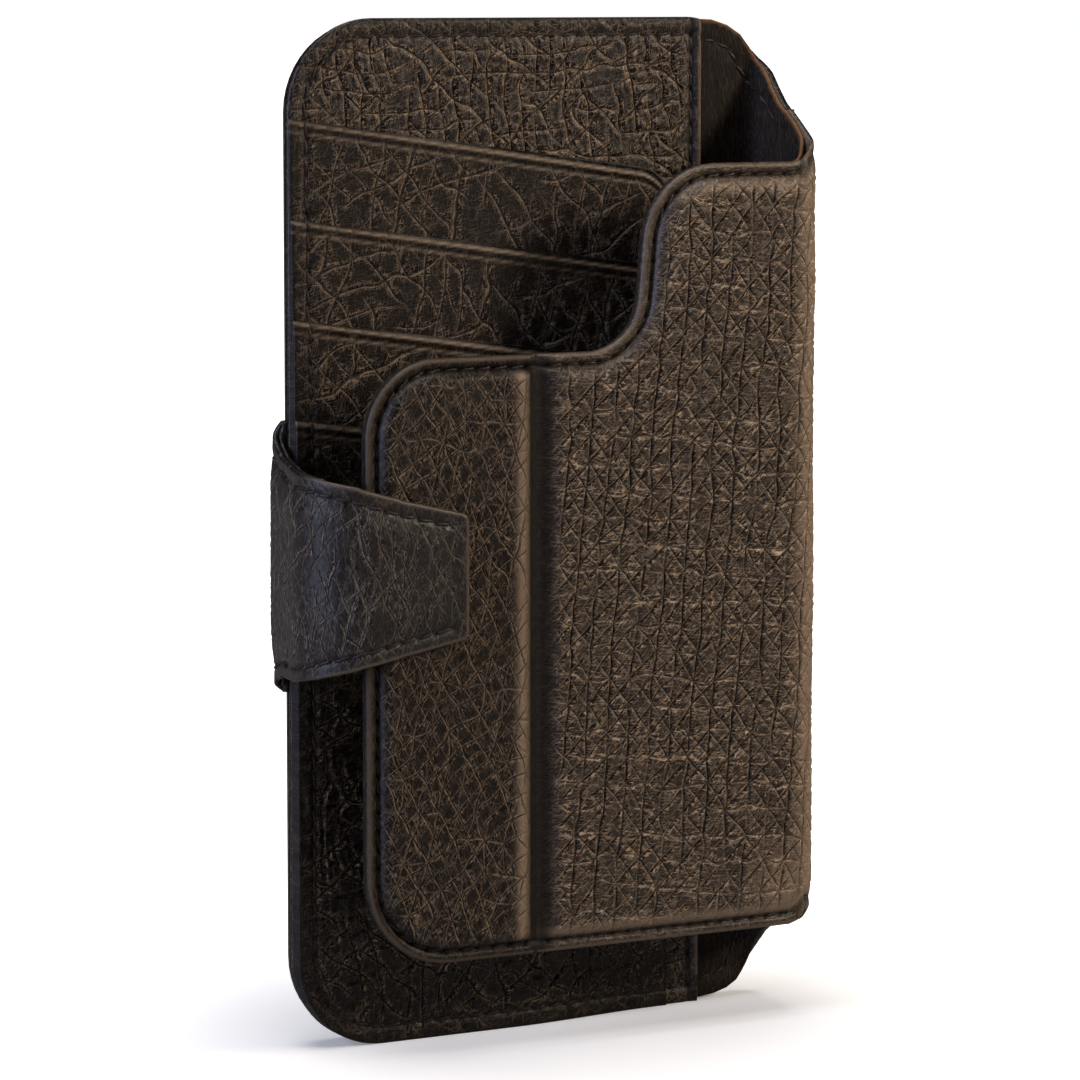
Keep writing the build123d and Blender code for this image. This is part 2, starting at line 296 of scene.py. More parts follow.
class Outline:
    """A closed outline in the sheet's own plane, with the stretches that are cuts to a neighbouring piece."""

    def __init__(self, points, is_cut=None):
        self.points = points
        self.next = np.roll(points, -1, axis=0)
        middle = (self.points + self.next) / 2
        self.cut = np.array([bool(is_cut and is_cut(m)) for m in middle])

    def _distance(self, x, y, which):
        best = np.full(x.shape, 1e9)
        for p, q in zip(self.points[which], self.next[which]):
            d = q - p
            length = d @ d
            if length < 1e-12:
                continue
            t = np.clip(((x - p[0]) * d[0] + (y - p[1]) * d[1]) / length, 0, 1)
            best = np.minimum(best, (x - p[0] - t * d[0]) ** 2 + (y - p[1] - t * d[1]) ** 2)
        return np.sqrt(best)

    def inside(self, x, y):
        odd = np.zeros(x.shape, bool)
        for p, q in zip(self.points, self.next):
            if p[1] == q[1]:
                continue
            crosses = (p[1] > y) != (q[1] > y)
            at = (q[0] - p[0]) * (y - p[1]) / (q[1] - p[1]) + p[0]
            odd ^= crosses & (x < at)
        return odd

    def signed(self, x, y):
        """Distance to the edge, negative outside."""
        d = self._distance(x, y, np.ones(len(self.points), bool))
        return np.where(self.inside(x, y), d, -d)

    def free(self, x, y):
        """Distance to the nearest finished edge."""
        return self._distance(x, y, ~self.cut)

    def loop(self, step):
        """Dense loop, its outward directions, and 1 where the edge is finished or 0 where it is a cut."""
        points = []
        cut = []
        for i, (p, q) in enumerate(zip(self.points, self.next)):
            parts = max(1, int(math.ceil(np.linalg.norm(q - p) / step)))
            for k in range(parts):
                points.append(p + (q - p) * k / parts)
                cut.append(self.cut[i] or (k == 0 and self.cut[i - 1]))
        points = np.array(points)
        tangent = np.roll(points, -1, axis=0) - np.roll(points, 1, axis=0)
        tangent /= np.linalg.norm(tangent, axis=1)[:, None] + 1e-12
        outward = np.stack([tangent[:, 1], -tangent[:, 0]], axis=1)
        return points, outward, 1.0 - np.array(cut, float)


# ------------------------------------------------------------------ how a flat sheet bends into place
class Plan:
    """A route seen from above that a sheet follows: straight runs joined by arcs."""

    def __init__(self, points, radii, side):
        points = [np.array(p, float) for p in points]
        self.side = side
        self.parts = []
        start = points[0]
        at = 0.0
        for i in range(1, len(points)):
            direction = points[i] - points[i - 1]
            direction /= np.linalg.norm(direction)
            end = points[i]
            bends = i < len(points) - 1
            if bends:
                after = points[i + 1] - points[i]
                after /= np.linalg.norm(after)
                angle = math.acos(float(direction @ after))
                radius = radii[i - 1]
                cut = radius * math.tan(angle / 2)
                end = points[i] - direction * cut
            length = float(np.linalg.norm(end - start))
            self.parts.append(("line", at, length, start, direction))
            at += length
            if bends:
                turn = math.copysign(1, direction[0] * after[1] - direction[1] * after[0])
                centre = end + turn * radius * np.array([-direction[1], direction[0]])
                self.parts.append(("arc", at, radius * angle, centre, (end - centre, turn, radius)))
                at += radius * angle
                start = points[i] + after * cut
        self.length = at

    def place(self, s):
        """Where places along the route are, and the route's direction there."""
        x, y, tx, ty = np.zeros((4, *s.shape))
        for i, (kind, at, length, a, b) in enumerate(self.parts):
            low = at if i else -1e9
            high = at + length if i < len(self.parts) - 1 else 1e9
            m = (s >= low) & (s < high)
            t = s[m] - at
            if kind == "line":
                x[m] = a[0] + b[0] * t
                y[m] = a[1] + b[1] * t
                tx[m] = b[0]
                ty[m] = b[1]
            else:
                arm, turn, radius = b
                c = np.cos(turn * t / radius)
                n = np.sin(turn * t / radius)
                ax = arm[0] * c - arm[1] * n
                ay = arm[0] * n + arm[1] * c
                x[m] = a[0] + ax
                y[m] = a[1] + ay
                tx[m] = -turn * ay / radius
                ty[m] = turn * ax / radius
        return x, y, tx, ty

    def at(self, s, z, h):
        """Where a sheet point goes: s along the route, z up, h out of the face."""
        x, y, tx, ty = self.place(np.asarray(s, float))
        return np.stack([x - self.side * ty * h, y + self.side * tx * h, z], axis=-1)


def metres(points):
    return (points + ORIGIN) / 1000.0


# ------------------------------------------------------------------ meshes
def mesh_object(name, points, polygons, flat, marks):
    """A smooth closed mesh from points in case millimetres; faces turn outwards."""
    volume = 0.0
    for p in polygons:
        for k in range(1, p.shape[1] - 1):
            normal = np.cross(points[p[:, k]], points[p[:, k + 1]])
            volume += float(np.einsum("ij,ij->i", points[p[:, 0]], normal).sum())
    if volume < 0:
        polygons = [p[:, ::-1] for p in polygons]
    corners = np.concatenate([p.ravel() for p in polygons])
    sizes = np.concatenate([np.full(len(p), p.shape[1]) for p in polygons])
    starts = np.concatenate([[0], np.cumsum(sizes)[:-1]])
    mesh = bpy.data.meshes.new(name)
    mesh.vertices.add(len(points))
    mesh.vertices.foreach_set("co", metres(points).astype(np.float32).ravel())
    mesh.loops.add(len(corners))
    mesh.loops.foreach_set("vertex_index", corners.astype(np.int32))
    mesh.polygons.add(len(sizes))
    mesh.polygons.foreach_set("loop_start", starts.astype(np.int32))
    mesh.polygons.foreach_set("loop_total", sizes.astype(np.int32))
    mesh.update(calc_edges=True)
    mesh.polygons.foreach_set("use_smooth", np.ones(len(sizes), bool))
    layer = mesh.uv_layers.new(name="pattern")
    layer.data.foreach_set("uv", (flat[corners] / 100.0).astype(np.float32).ravel())
    for key, values in marks.items():
        kind, field = ("FLOAT_VECTOR", "vector") if values.ndim == 2 else ("FLOAT", "value")
        layer = mesh.attributes.new(key, kind, "POINT")
        layer.data.foreach_set(field, values.astype(np.float32).ravel())
    mesh.validate()
    obj = bpy.data.objects.new(name, mesh)
    bpy.context.scene.collection.objects.link(obj)
    return obj


def fill(ring, outline, grid, margin):
    """Points and faces that fill a loop: an even grid inside, and a fitted band between it and the loop."""
    low = ring.min(axis=0)
    high = ring.max(axis=0)
    xs = np.arange(low[0] + grid / 2, high[0], grid)
    zs = np.arange(low[1] + grid / 2, high[1], grid)
    gx, gz = np.meshgrid(xs, zs, indexing="ij")
    ok = outline.signed(gx.ravel(), gz.ravel()).reshape(gx.shape) > margin
    cell = ok[:-1, :-1] & ok[1:, :-1] & ok[1:, 1:] & ok[:-1, 1:]
    used = np.zeros(gx.shape, bool)
    used[:-1, :-1] |= cell
    used[1:, :-1] |= cell
    used[1:, 1:] |= cell
    used[:-1, 1:] |= cell
    number = np.full(gx.shape, -1)
    number[used] = np.arange(used.sum()) + len(ring)
    i, j = np.nonzero(cell)
    quads = np.stack([number[i, j], number[i + 1, j], number[i + 1, j + 1], number[i, j + 1]], axis=1)
    points = np.concatenate([ring, np.stack([gx[used], gz[used]], axis=1)])

    # the grid's ragged rim, as edges
    padded = np.pad(cell, 1)
    i, j = np.nonzero(padded[1:, 1:-1] != padded[:-1, 1:-1])
    rim = [np.stack([number[i, j], number[i, j + 1]], axis=1)]
    i, j = np.nonzero(padded[1:-1, 1:] != padded[1:-1, :-1])
    rim.append(np.stack([number[i, j], number[i + 1, j]], axis=1))
    rim = np.concatenate(rim)

    # triangles between the rim and the loop
    chosen = np.concatenate([np.arange(len(ring)), np.unique(rim)]).astype(int)
    local = {int(v): k for k, v in enumerate(chosen)}
    edges = [(k, (k + 1) % len(ring)) for k in range(len(ring))]
    edges += [(local[int(a)], local[int(b)]) for a, b in rim]
    flat = [Vector((float(p[0]), float(p[1]))) for p in points[chosen]]
    _, _, triangles, origin, _, _ = delaunay_2d_cdt(flat, edges, [], 0, 1e-7)
    back = np.array([o[0] if o else -1 for o in origin])
    triangles = back[np.array([t for t in triangles if len(t) == 3])]
    triangles = chosen[triangles[(triangles >= 0).all(axis=1)]]
    centre = points[triangles].mean(axis=1)
    keep = Outline(ring).inside(centre[:, 0], centre[:, 1])
    ci = np.floor((centre[:, 0] - xs[0]) / grid).astype(int)
    cj = np.floor((centre[:, 1] - zs[0]) / grid).astype(int)
    within = (ci >= 0) & (cj >= 0) & (ci < cell.shape[0]) & (cj < cell.shape[1])
    filled = np.zeros(len(centre), bool)
    filled[within] = cell[ci[within], cj[within]]
    triangles = triangles[keep & ~filled]
    a, b, c = (points[triangles[:, k]] for k in range(3))
    turn = (b[:, 0] - a[:, 0]) * (c[:, 1] - a[:, 1]) - (b[:, 1] - a[:, 1]) * (c[:, 0] - a[:, 0])
    triangles = triangles[np.abs(turn) > 1e-9]
    turn = turn[np.abs(turn) > 1e-9]
    triangles[turn < 0] = triangles[turn < 0][:, ::-1]
    return points, quads, triangles


def sheet(
    name, outline, plan, face, back, grid, back_grid=1.4, edge=0.45, rows=8,
    grain=None, wall=None, raw=None, painted_highlight=None, net=None,
):
    """A closed sheet of leather.

    face and back give the two faces' heights from (x, z, distance to the nearest finished edge). grain
    gives the face's relief, its dark marks (painted shade in creases, grooves and seam valleys, or a
    lining's own mottling) and how much of the pale wrinkles shows, a painted highlight on the grained
    leathers. net is the grain whose crease lines are stored for the material, and its seed. wall, if
    given, lists (inset, height) rows that make a turned edge instead of a round one.
    """
    loop, outward, finished = outline.loop(max(grid, 0.3))
    count = len(loop)

    def ring_at(inset):
        return loop - outward * (inset * finished)[:, None]

    rings = []
    if wall is None:
        for k in range(rows + 1):
            angle = math.pi * k / rows
            ring = ring_at(edge * (1 - math.sin(angle)))
            share = (1 - math.cos(angle)) / 2
            place = (ring[:, 0], ring[:, 1], outline.free(ring[:, 0], ring[:, 1]))
            rings.append((ring, face(*place) * (1 - share) + back(*place) * share))
    else:
        for inset, height in wall:
            rings.append((ring_at(inset(loop[:, 0])), height(loop[:, 0])))

    def filled(ring, step):
        inset = float(np.max(np.linalg.norm(ring - loop, axis=1)))
        return fill(ring, outline, step, inset + 0.55 * step)

    front_points, front_quads, front_tris = filled(rings[0][0], grid)
    back_points, back_quads, back_tris = filled(rings[-1][0], back_grid)
    fx = front_points[:, 0]
    fz = front_points[:, 1]
    distance = outline.free(fx, fz)
    front_height = face(fx, fz, distance)
    front_height[:count] = rings[0][1]
    crease = np.zeros(len(fx))
    lip = np.zeros(len(fx))
    if grain is not None:
        extra, crease, lip = grain(fx, fz, distance)
        front_height = front_height + extra * smooth(distance / 0.8)
    back_distance = outline.free(back_points[:, 0], back_points[:, 1])
    back_height = back(back_points[:, 0], back_points[:, 1], back_distance)
    back_height[:count] = rings[-1][1]

    first_back = len(front_points)
    polygons = [front_quads, front_tris, back_quads[:, ::-1] + first_back, back_tris[:, ::-1] + first_back]
    faces_end = first_back + len(back_points)
    starts = [0, *(faces_end + count * k for k in range(len(rings) - 2)), first_back]
    index = np.arange(count)
    after = (index + 1) % count
    for upper, lower in zip(starts[:-1], starts[1:]):
        polygons.append(np.stack([index + upper, index + lower, after + lower, after + upper], axis=1))
    flat = np.concatenate([front_points, back_points, *(ring for ring, _ in rings[1:-1])])
    heights = np.concatenate([front_height, back_height, *(height for _, height in rings[1:-1])])
    x = flat[:, 0]
    z = flat[:, 1]
    free = np.concatenate([distance, back_distance, outline.free(x[faces_end:], z[faces_end:])])
    missing = np.zeros(len(flat) - len(fx))
    marks = {
        # crease: painted shade in creases, grooves and seam valleys, and a lining's own mottling; lip: how
        # much of the painted-highlight wrinkles shows
        "crease": np.concatenate([crease, missing]),
        "lip": np.concatenate([lip, missing]),
        "rim": bell(free, 0, 0.7),
        "raw": np.zeros(len(flat)) if raw is None else raw(x, z),
        # a painted highlight on lit edges, folds and bends, given for each sheet
        "painted_highlight": np.zeros(len(flat)) if painted_highlight is None else np.clip(painted_highlight(x, z, free), 0, 1),
    }
    if net is not None:
        values = np.full((len(flat), 4), 0.5)
        strengths = np.zeros((len(flat), 4))
        for k, (value, _, strength) in enumerate(net[0].lines(fx, fz, net[1])):
            values[:len(fx), k] = value
            strengths[:len(fx), k] = strength * smooth((distance - 0.2) / 0.7)
        marks["net_lines"] = values[:, :3]
        marks["net_strengths"] = strengths[:, :3]
        marks["net_last"] = np.stack([values[:, 3], strengths[:, 3], np.zeros(len(flat))], axis=1)
    return mesh_object(name, plan.at(x, z, heights), polygons, flat, marks)


def level(height):
    """A face, or a seam's place, that stays at this height."""
    return lambda x, z, d=None: np.full(x.shape, height)


# ------------------------------------------------------------------ seams
def seam_path(points):
    """Middles, directions, lengths and hole places of the stitches along a line of points."""
    points = np.array(points, float)
    legs = np.linalg.norm(np.diff(points, axis=0), axis=1)
    at = np.concatenate([[0], np.cumsum(legs)])
    count = max(1, int(round(at[-1] / STITCH)))
    ends = np.linspace(0, at[-1], count + 1)
    holes = np.stack([np.interp(ends, at, points[:, k]) for k in (0, 1)], axis=1)
    direction = holes[1:] - holes[:-1]
    length = np.linalg.norm(direction, axis=1)
    return (holes[1:] + holes[:-1]) / 2, direction / length[:, None], length, holes


def inset_line(outline, distance, keep):
    """The runs of an outline's inset line where keep(x) is true."""
    loop, outward, finished = outline.loop(0.25)
    line = loop - outward * distance
    good = (finished > 0.5) & keep(line[:, 0])
    good &= outline.signed(line[:, 0], line[:, 1]) > distance - 0.06
    if good.all():
        return [np.concatenate([line, line[:1]])]
    runs = [[]]
    for k in (np.arange(len(line)) + int(np.argmin(good))) % len(line):
        if good[k]:
            runs[-1].append(line[k])
        elif runs[-1]:
            runs.append([])
    return [np.array(run) for run in runs if len(run) > 8]


def stitches(name, lines, plan, height, seed, thickness=0.42, tilt=7.0):
    """Separate twisted stitches along lines in a sheet's plane; height(x, z) is the leather's face there."""
    sections = 11
    sides = 8
    around = 2 * math.pi * np.arange(sides) / sides
    tt, aa = np.meshgrid(np.linspace(-1, 1, sections), around, indexing="ij")
    taper = np.sqrt(np.clip(1 - np.abs(tt[:, :1]) ** 5, 0.03, 1))
    points = []
    polygons = []
    flat = []
    count = 0
    for line in lines:
        for k, (middle, way, length, _) in enumerate(zip(*seam_path(line))):
            chance = [hashed(np.array([k]), np.array([count]), seed + n)[0] - 0.5 for n in (0, 1)]
            turn = math.radians(tilt + 3.0 * chance[0])
            dx = way[0] * math.cos(turn) - way[1] * math.sin(turn)
            dz = way[0] * math.sin(turn) + way[1] * math.cos(turn)
            radius = thickness / 2 * (1 + 0.12 * chance[1]) * taper
            rr = radius * (1 + 0.20 * np.cos(2 * (aa - 2.6 * tt - 0.7 * k)))
            reach = (length / 2 - 0.14) * tt
            side = rr * np.cos(aa)
            rise = rr * np.sin(aa) * 0.85 + thickness * (0.16 - 0.60 * np.abs(tt) ** 3)
            x = middle[0] + dx * reach - dz * side
            z = middle[1] + dz * reach + dx * side
            base = height(middle[0] + dx * reach, middle[1] + dz * reach)
            points.append(plan.at(x.ravel(), z.ravel(), (base + rise).ravel()))
            flat.append(np.stack([x.ravel(), z.ravel()], axis=1))
            index = np.arange(sections * sides).reshape(sections, sides) + count
            wrapped = np.roll(index, -1, axis=1)
            sleeve = np.stack([index[:-1], index[1:], wrapped[1:], wrapped[:-1]], axis=-1)
            caps = [cap[[0, m, m + 1, m + 2]] for cap in (index[0][::-1], index[-1]) for m in (1, 3, 5)]
            polygons += [sleeve.reshape(-1, 4), np.array(caps)]
            count += sections * sides
    return mesh_object(name, np.concatenate(points), polygons, np.concatenate(flat), {})


def holes_of(lines):
    return np.concatenate([seam_path(line)[3] for line in lines])


def dimples(x, z, holes, depth=0.22, size=0.38):
    """Small pits where the thread goes through."""
    best = np.full(x.shape, 1e9)
    for p in holes:
        best = np.minimum(best, (x - p[0]) ** 2 + (z - p[1]) ** 2)
    return -depth * np.exp(-best / size**2)


# ------------------------------------------------------------------ materials
def feed(tree, value, socket):
    """Links an output to an input, or sets the input to a plain value."""
    if isinstance(value, bpy.types.NodeSocket):
        tree.links.new(value, socket)
    elif value is not None:
        socket.default_value = value


def node(tree, kind, *sources, **values):
    """A new node; the sources go to its first inputs, and each value to the input or setting of that name."""
    n = tree.nodes.new("ShaderNode" + kind)
    for key, value in values.items():
        if key in n.inputs:
            feed(tree, value, n.inputs[key])
        else:
            setattr(n, key, value)
    for value, socket in zip(sources, n.inputs):
        feed(tree, value, socket)
    return n


def mixed(tree, factor, a, b):
    """A colour mix of a and b; each is a colour or an output."""
    n = node(tree, "Mix", factor, data_type="RGBA")
    for place, value in ((6, a), (7, b)):
        feed(tree, value if isinstance(value, bpy.types.NodeSocket) else (*value, 1.0), n.inputs[place])
    return n.outputs[2]


def ranged(tree, value, *numbers, kind="SMOOTHSTEP"):
    """A value mapped from one range, the first two numbers, to another, the last two."""
    return node(tree, "MapRange", value, *numbers, interpolation_type=kind).outputs[0]


def scaled(tree, value, low, high):
    return ranged(tree, value, 0.0, 1.0, low, high, kind="LINEAR")


def marked(tree, name):
    return node(tree, "Attribute", attribute_name=name).outputs["Fac"]


def parts_of(tree, name):
    """The three numbers of a vector attribute."""
    return node(tree, "SeparateXYZ", node(tree, "Attribute", attribute_name=name).outputs["Vector"]).outputs


def speckle(tree, where, **values):
    return node(tree, "TexNoise", Vector=where, **values).outputs[0]


def calc(tree, kind, first, *more):
    """A maths node on one or two values, or a chain of them on more."""
    for value in more or (None,):
        first = node(tree, "Math", first, value, operation=kind).outputs[0]
    return first


def bumps(tree, *layers):
    """Bumps in a chain; each is a height, its strength, its distance in metres, and whether it sinks."""
    normal = None
    for height, strength, metre, sinks in layers:
        n = node(tree, "Bump", Strength=strength, Distance=metre, Height=height, Normal=normal, invert=sinks)
        normal = n.outputs[0]
    return normal


def empty_tree(owner):
    owner.use_nodes = True
    owner.node_tree.nodes.clear()
    return owner.node_tree


def surface(tree, values):
    """The principled shader with these inputs, as the material's surface."""
    node(tree, "OutputMaterial", node(tree, "BsdfPrincipled", **values).outputs[0])


def streaks(tree, place, angle, length, width):
    """Fine pale wrinkles that run at this angle, in millimetres: painted highlights on the grained leathers.
    """
    turn = (0, 0, math.radians(angle))
    size = (length / 100, width / 100, 1)
    where = node(tree, "Mapping", place, vector_type="TEXTURE", Rotation=turn, Scale=size).outputs[0]
    cloud = speckle(tree, where, Scale=1.0, Detail=1.5, Roughness=0.45, Distortion=0.3)
    away = calc(tree, "ABSOLUTE", calc(tree, "SUBTRACT", cloud, 0.5))
    return ranged(tree, away, 0.006, 0.031, 1.0, 0.0)


def crease_net(tree, net, held):
    """The stored crease lines: their dark cuts of painted shade, their pale banks of painted highlight on the
    side that faces the light, and the band beside them.
    """
    values, strengths, last = (parts_of(tree, name) for name in ("net_lines", "net_strengths", "net_last"))
    lines = []
    banks = []
    bands = []
    for k, (deep, pale, reach) in enumerate(net):
        value, strength = (values[k], strengths[k]) if k < 3 else (last[0], last[1])
        strength = calc(tree, "MULTIPLY", strength, held)
        side = calc(tree, "SUBTRACT", value, calc(tree, "ROUND", value))
        away = calc(tree, "ABSOLUTE", side)
        start = ranged(tree, side, 0.025, 0.055, 0.0, 1.0)
        stop = ranged(tree, side, 0.06, 0.115, 1.0, 0.0)
        lines.append(calc(tree, "MULTIPLY", ranged(tree, away, 0.014, 0.068, 1.0, 0.0), strength, deep))
        banks.append(calc(tree, "MULTIPLY", start, stop, strength, pale))
        bands.append(calc(tree, "MULTIPLY", ranged(tree, away, 0.03, 0.30, 1.0, 0.0), strength, reach))
    return [calc(tree, "MAXIMUM", *group) for group in (lines, banks, bands)]


def leather(name, dark, middle, pale, rough, gloss, wrinkles, faint, net=None, sheen=0.02, nap=1.0):
    """Dyed leather: painted shade darkens the creases, the fine wrinkles beside them are paler (painted
    highlights on the grained leathers), and a painted highlight lightens lit edges, folds and bends; with
    pores.

    wrinkles lists the (angle, length, width) of the fine wrinkles; faint is how much of them shows away
    from a crease. net lists, for each family of crease lines, how dark its cuts of painted shade are, how
    pale their banks of painted highlight are, and how much the wrinkles beside them show.
    """
    material = bpy.data.materials.new(name)
    tree = empty_tree(material)
    place = node(tree, "UVMap", uv_map="pattern").outputs[0]
    stretch = node(tree, "Mapping", place, Scale=(1.0, nap, 1.0)).outputs[0]
    pores = speckle(tree, stretch, Scale=420.0, Detail=5.0, Roughness=0.65)
    broad = speckle(tree, place, Scale=14.0, Detail=4.0, Roughness=0.55)
    fibre = speckle(tree, stretch, Scale=150.0, Detail=6.0, Roughness=0.7)
    amount = calc(tree, "MAXIMUM", *(streaks(tree, place, *wrinkle) for wrinkle in wrinkles))
    held = marked(tree, "lip")
    dents = marked(tree, "crease")
    if net is None:
        amount = calc(tree, "MULTIPLY", amount, calc(tree, "ADD", held, faint))
    else:
        lines, banks, bands = crease_net(tree, net, held)
        dents = calc(tree, "MAXIMUM", dents, lines)
        amount = calc(tree, "MULTIPLY", amount, calc(tree, "ADD", bands, faint))
        broken = ranged(tree, fibre, 0.41, 0.55, 0.1, 1.0)
        amount = calc(tree, "MAXIMUM", amount, calc(tree, "MULTIPLY", banks, broken))
    # colour of the painted highlight on lit edges, folds and bends
    painted_highlight = tuple(0.30 * m + 0.42 * p for m, p in zip(middle, pale))
    raw = mixed(tree, scaled(tree, fibre, 0.2, 0.9), (0.34, 0.17, 0.07), (0.12, 0.055, 0.025))
    base = mixed(tree, scaled(tree, broad, 0.25, 0.75), middle, tuple(0.70 * c for c in middle))
    for factor, colour in (
        (scaled(tree, marked(tree, "painted_highlight"), 0.0, 0.85), painted_highlight),
        (scaled(tree, fibre, -0.35, 0.55), dark),
        # pale wrinkles and crease banks: painted highlights
        (scaled(tree, amount, 0.0, 0.9), pale),
        # painted shade in the creases, grooves and seam valleys
        (scaled(tree, dents, 0.0, 0.9), dark),
        (scaled(tree, marked(tree, "rim"), 0.0, 0.3), dark),
        (marked(tree, "raw"), raw),
    ):
        base = mixed(tree, factor, base, colour)
    dull = scaled(tree, dents, 0.0, 0.25)
    surface(tree, {
        "Base Color": base,
        "Roughness": calc(tree, "ADD", scaled(tree, broad, rough - 0.05, rough + 0.07), dull),
        "Specular IOR Level": gloss,
        "Sheen Weight": sheen,
        "Sheen Roughness": 0.4,
        "Sheen Tint": (1.0, 0.82, 0.66, 1.0),
        "Normal": bumps(
            tree, (pores, 0.5, 0.00007, False), (fibre, 0.5, 0.00014, False),
            (amount, 0.9, 0.00017, False), (dents, 0.8, 0.00011, True),
        ),
    })
    return material


def plain(name, a, b, scale, rough, metallic=0.0, bump=0.3):
    """A procedural finish for the small parts: two tones in a fine noise."""
    material = bpy.data.materials.new(name)
    tree = empty_tree(material)
    place = node(tree, "TexCoord").outputs["Object"]
    grainy = speckle(tree, place, Scale=scale, Detail=5.0, Roughness=0.6)
    surface(tree, {
        "Base Color": mixed(tree, scaled(tree, grainy, -0.2, 1.2), a, b),
        "Roughness": scaled(tree, grainy, rough - 0.08, rough + 0.08),
        "Metallic": metallic,
        "Normal": bumps(tree, (grainy, bump, 0.0001, False)),
    })
    return material


OUTER = leather(
    "outer_leather", (0.0020, 0.0013, 0.0009), (0.0360, 0.0247, 0.0166), (1.0, 0.72, 0.49),
    rough=0.31, gloss=0.42, wrinkles=((46, 2.2, 0.45), (-6, 2.4, 0.45)), faint=0.12,
    net=((1.0, 0.30, 0.36), (0.60, 0.45, 0.66), (1.0, 0.90, 0.60), (0.95, 0.45, 0.36)),
)
# The narrow flap's outer leather, made much darker than the wide flap's: painted shade, as this panel gets
# less light.
NARROW_SHADED = leather(
    "flap_narrow_leather", (0.0018, 0.0012, 0.0008), (0.0044, 0.0030, 0.0020), (0.85, 0.60, 0.40),
    rough=0.32, gloss=0.26, wrinkles=((62, 2.0, 0.42), (118, 2.0, 0.42)), faint=0.05,
    net=((0.8, 0.45, 0.26), (0.5, 0.4, 0.22), (0.9, 0.75, 0.36), (0.9, 0.75, 0.36)),
)
COVER = leather(
    "cover_leather", (0.0018, 0.0012, 0.0008), (0.0062, 0.0042, 0.0028), (1.0, 0.69, 0.45),
    rough=0.31, gloss=0.38, wrinkles=((98, 2.0, 0.45), (25, 2.0, 0.45)), faint=0.10,
    net=((1.0, 0.60, 0.50), (1.0, 0.60, 0.50), (0.95, 0.50, 0.42), (0.9, 0.50, 0.42)),
)
POCKET = leather(
    "pocket_leather", (0.0018, 0.0012, 0.0008), (0.0046, 0.0031, 0.0021), (0.85, 0.59, 0.38),
    rough=0.32, gloss=0.28, wrinkles=((80, 2.0, 0.45), (15, 2.2, 0.45)), faint=0.06,
    net=((0.95, 0.42, 0.34), (0.95, 0.42, 0.34), (0.85, 0.40, 0.36)),
)
STRAP = leather(
    "strap_leather", (0.0022, 0.0017, 0.0015), (0.0042, 0.0031, 0.0027), (0.60, 0.45, 0.34),
    rough=0.33, gloss=0.44, wrinkles=((76, 2.0, 0.42), (112, 1.8, 0.42)), faint=0.06,
    net=((0.7, 0.45, 0.25), (0.7, 0.4, 0.25), (0.6, 0.35, 0.22)),
)
LINING_SKIN = leather(
    "lining_leather", (0.0020, 0.0013, 0.0009), (0.0090, 0.0061, 0.0044), (0.16, 0.11, 0.075),
    rough=0.6, gloss=0.2, wrinkles=((86, 4.0, 0.3), (100, 3.0, 0.34)), faint=0.3, sheen=0.05, nap=0.25,
)
THREAD = plain("thread", (0.020, 0.0085, 0.007), (0.006, 0.003, 0.003), 2600.0, 0.5, bump=0.6)
BOARD = plain("stiffener", (0.16, 0.13, 0.10), (0.08, 0.06, 0.045), 900.0, 0.8)
STEEL = plain("steel", (0.55, 0.55, 0.56), (0.36, 0.36, 0.37), 1500.0, 0.35, metallic=1.0)
GRIP = plain("grip_pad", (0.020, 0.020, 0.021), (0.008, 0.008, 0.009), 700.0, 0.62, bump=0.8)


# ------------------------------------------------------------------ the case's outlines
COVER_OUTLINE = rounded(
    ((0, 0), (SPINE_FACE, 0), (SPINE_FACE, 137), (66, COVER_TOP), (0, COVER_TOP)), (13, 10, 5, 8, 13)
)
# rear: the flat cover, then the bend, then half of the spine; front: the same from the flap's side
REAR_PLAN = Plan([(0, BACK), (SPINE_FACE, BACK), (SPINE_FACE, SPINE_MID)], [4.0], 1)
FRONT_PLAN = Plan([(0, FLAP_FACE), (SPINE_FACE, FLAP_FACE), (SPINE_FACE, SPINE_MID)], [3.2], -1)

# The edges that run from the flat leather round each bend to the middle of the spine and back,
# below and above: x and y as seen from above, and the height z.
REAR_BOTTOM = (
    (66.6, 4, 0), (69.0, 4, 0.25), (71.2, 4, 0.9), (73.0, 4, 1.9), (74.6, 3.8, 3.1), (75.8, 3.1, 4.5),
    (76.6, 2.2, 6.0), (77.1, 1.0, 7.7), (77.2, -0.4, 9.2), (77.2, -2.2, 10.4), (77.2, -4.5, 11.3),
    (SPINE_FACE, SPINE_MID, SPINE_LOW),
)
REAR_TOP = (
    (SPINE_FACE, SPINE_MID, SPINE_TOP), (77.2, -5.2, 132.9), (77.2, -3.2, 134.9), (77.2, -1.2, 137.1),
    (76.6, 1.9, 139.2), (75.4, 3.4, 141.0), (73.0, 4, 142.7), (70.6, 4, 144.1), (68.0, 4, 144.9),
    (65.5, 4, COVER_TOP),
)
FRONT_BOTTOM = (
    (73.2, -15.7, FLAP_LOW), (75.0, -15.4, 14.3), (76.4, -14.5, 15.3), (77.1, -13.2, 15.6),
    (77.2, -11.0, 13.4), (SPINE_FACE, SPINE_MID, SPINE_LOW),
)
FRONT_TOP = (
    (SPINE_FACE, SPINE_MID, SPINE_TOP), (77.2, -9.5, 130.0), (77.2, -12.0, 128.2), (76.9, -13.9, 126.9),
    (76.0, -15.0, 125.6), (74.4, -15.6, 124.8), (72.4, -15.7, FLAP_HIGH),
)


def along(plan, x, y):
    """How far along a route its nearest point to (x, y) lies."""
    s = np.linspace(0, plan.length, 4000)
    px, py, _, _ = plan.place(s)
    return float(s[np.argmin((px - x) ** 2 + (py - y) ** 2)])


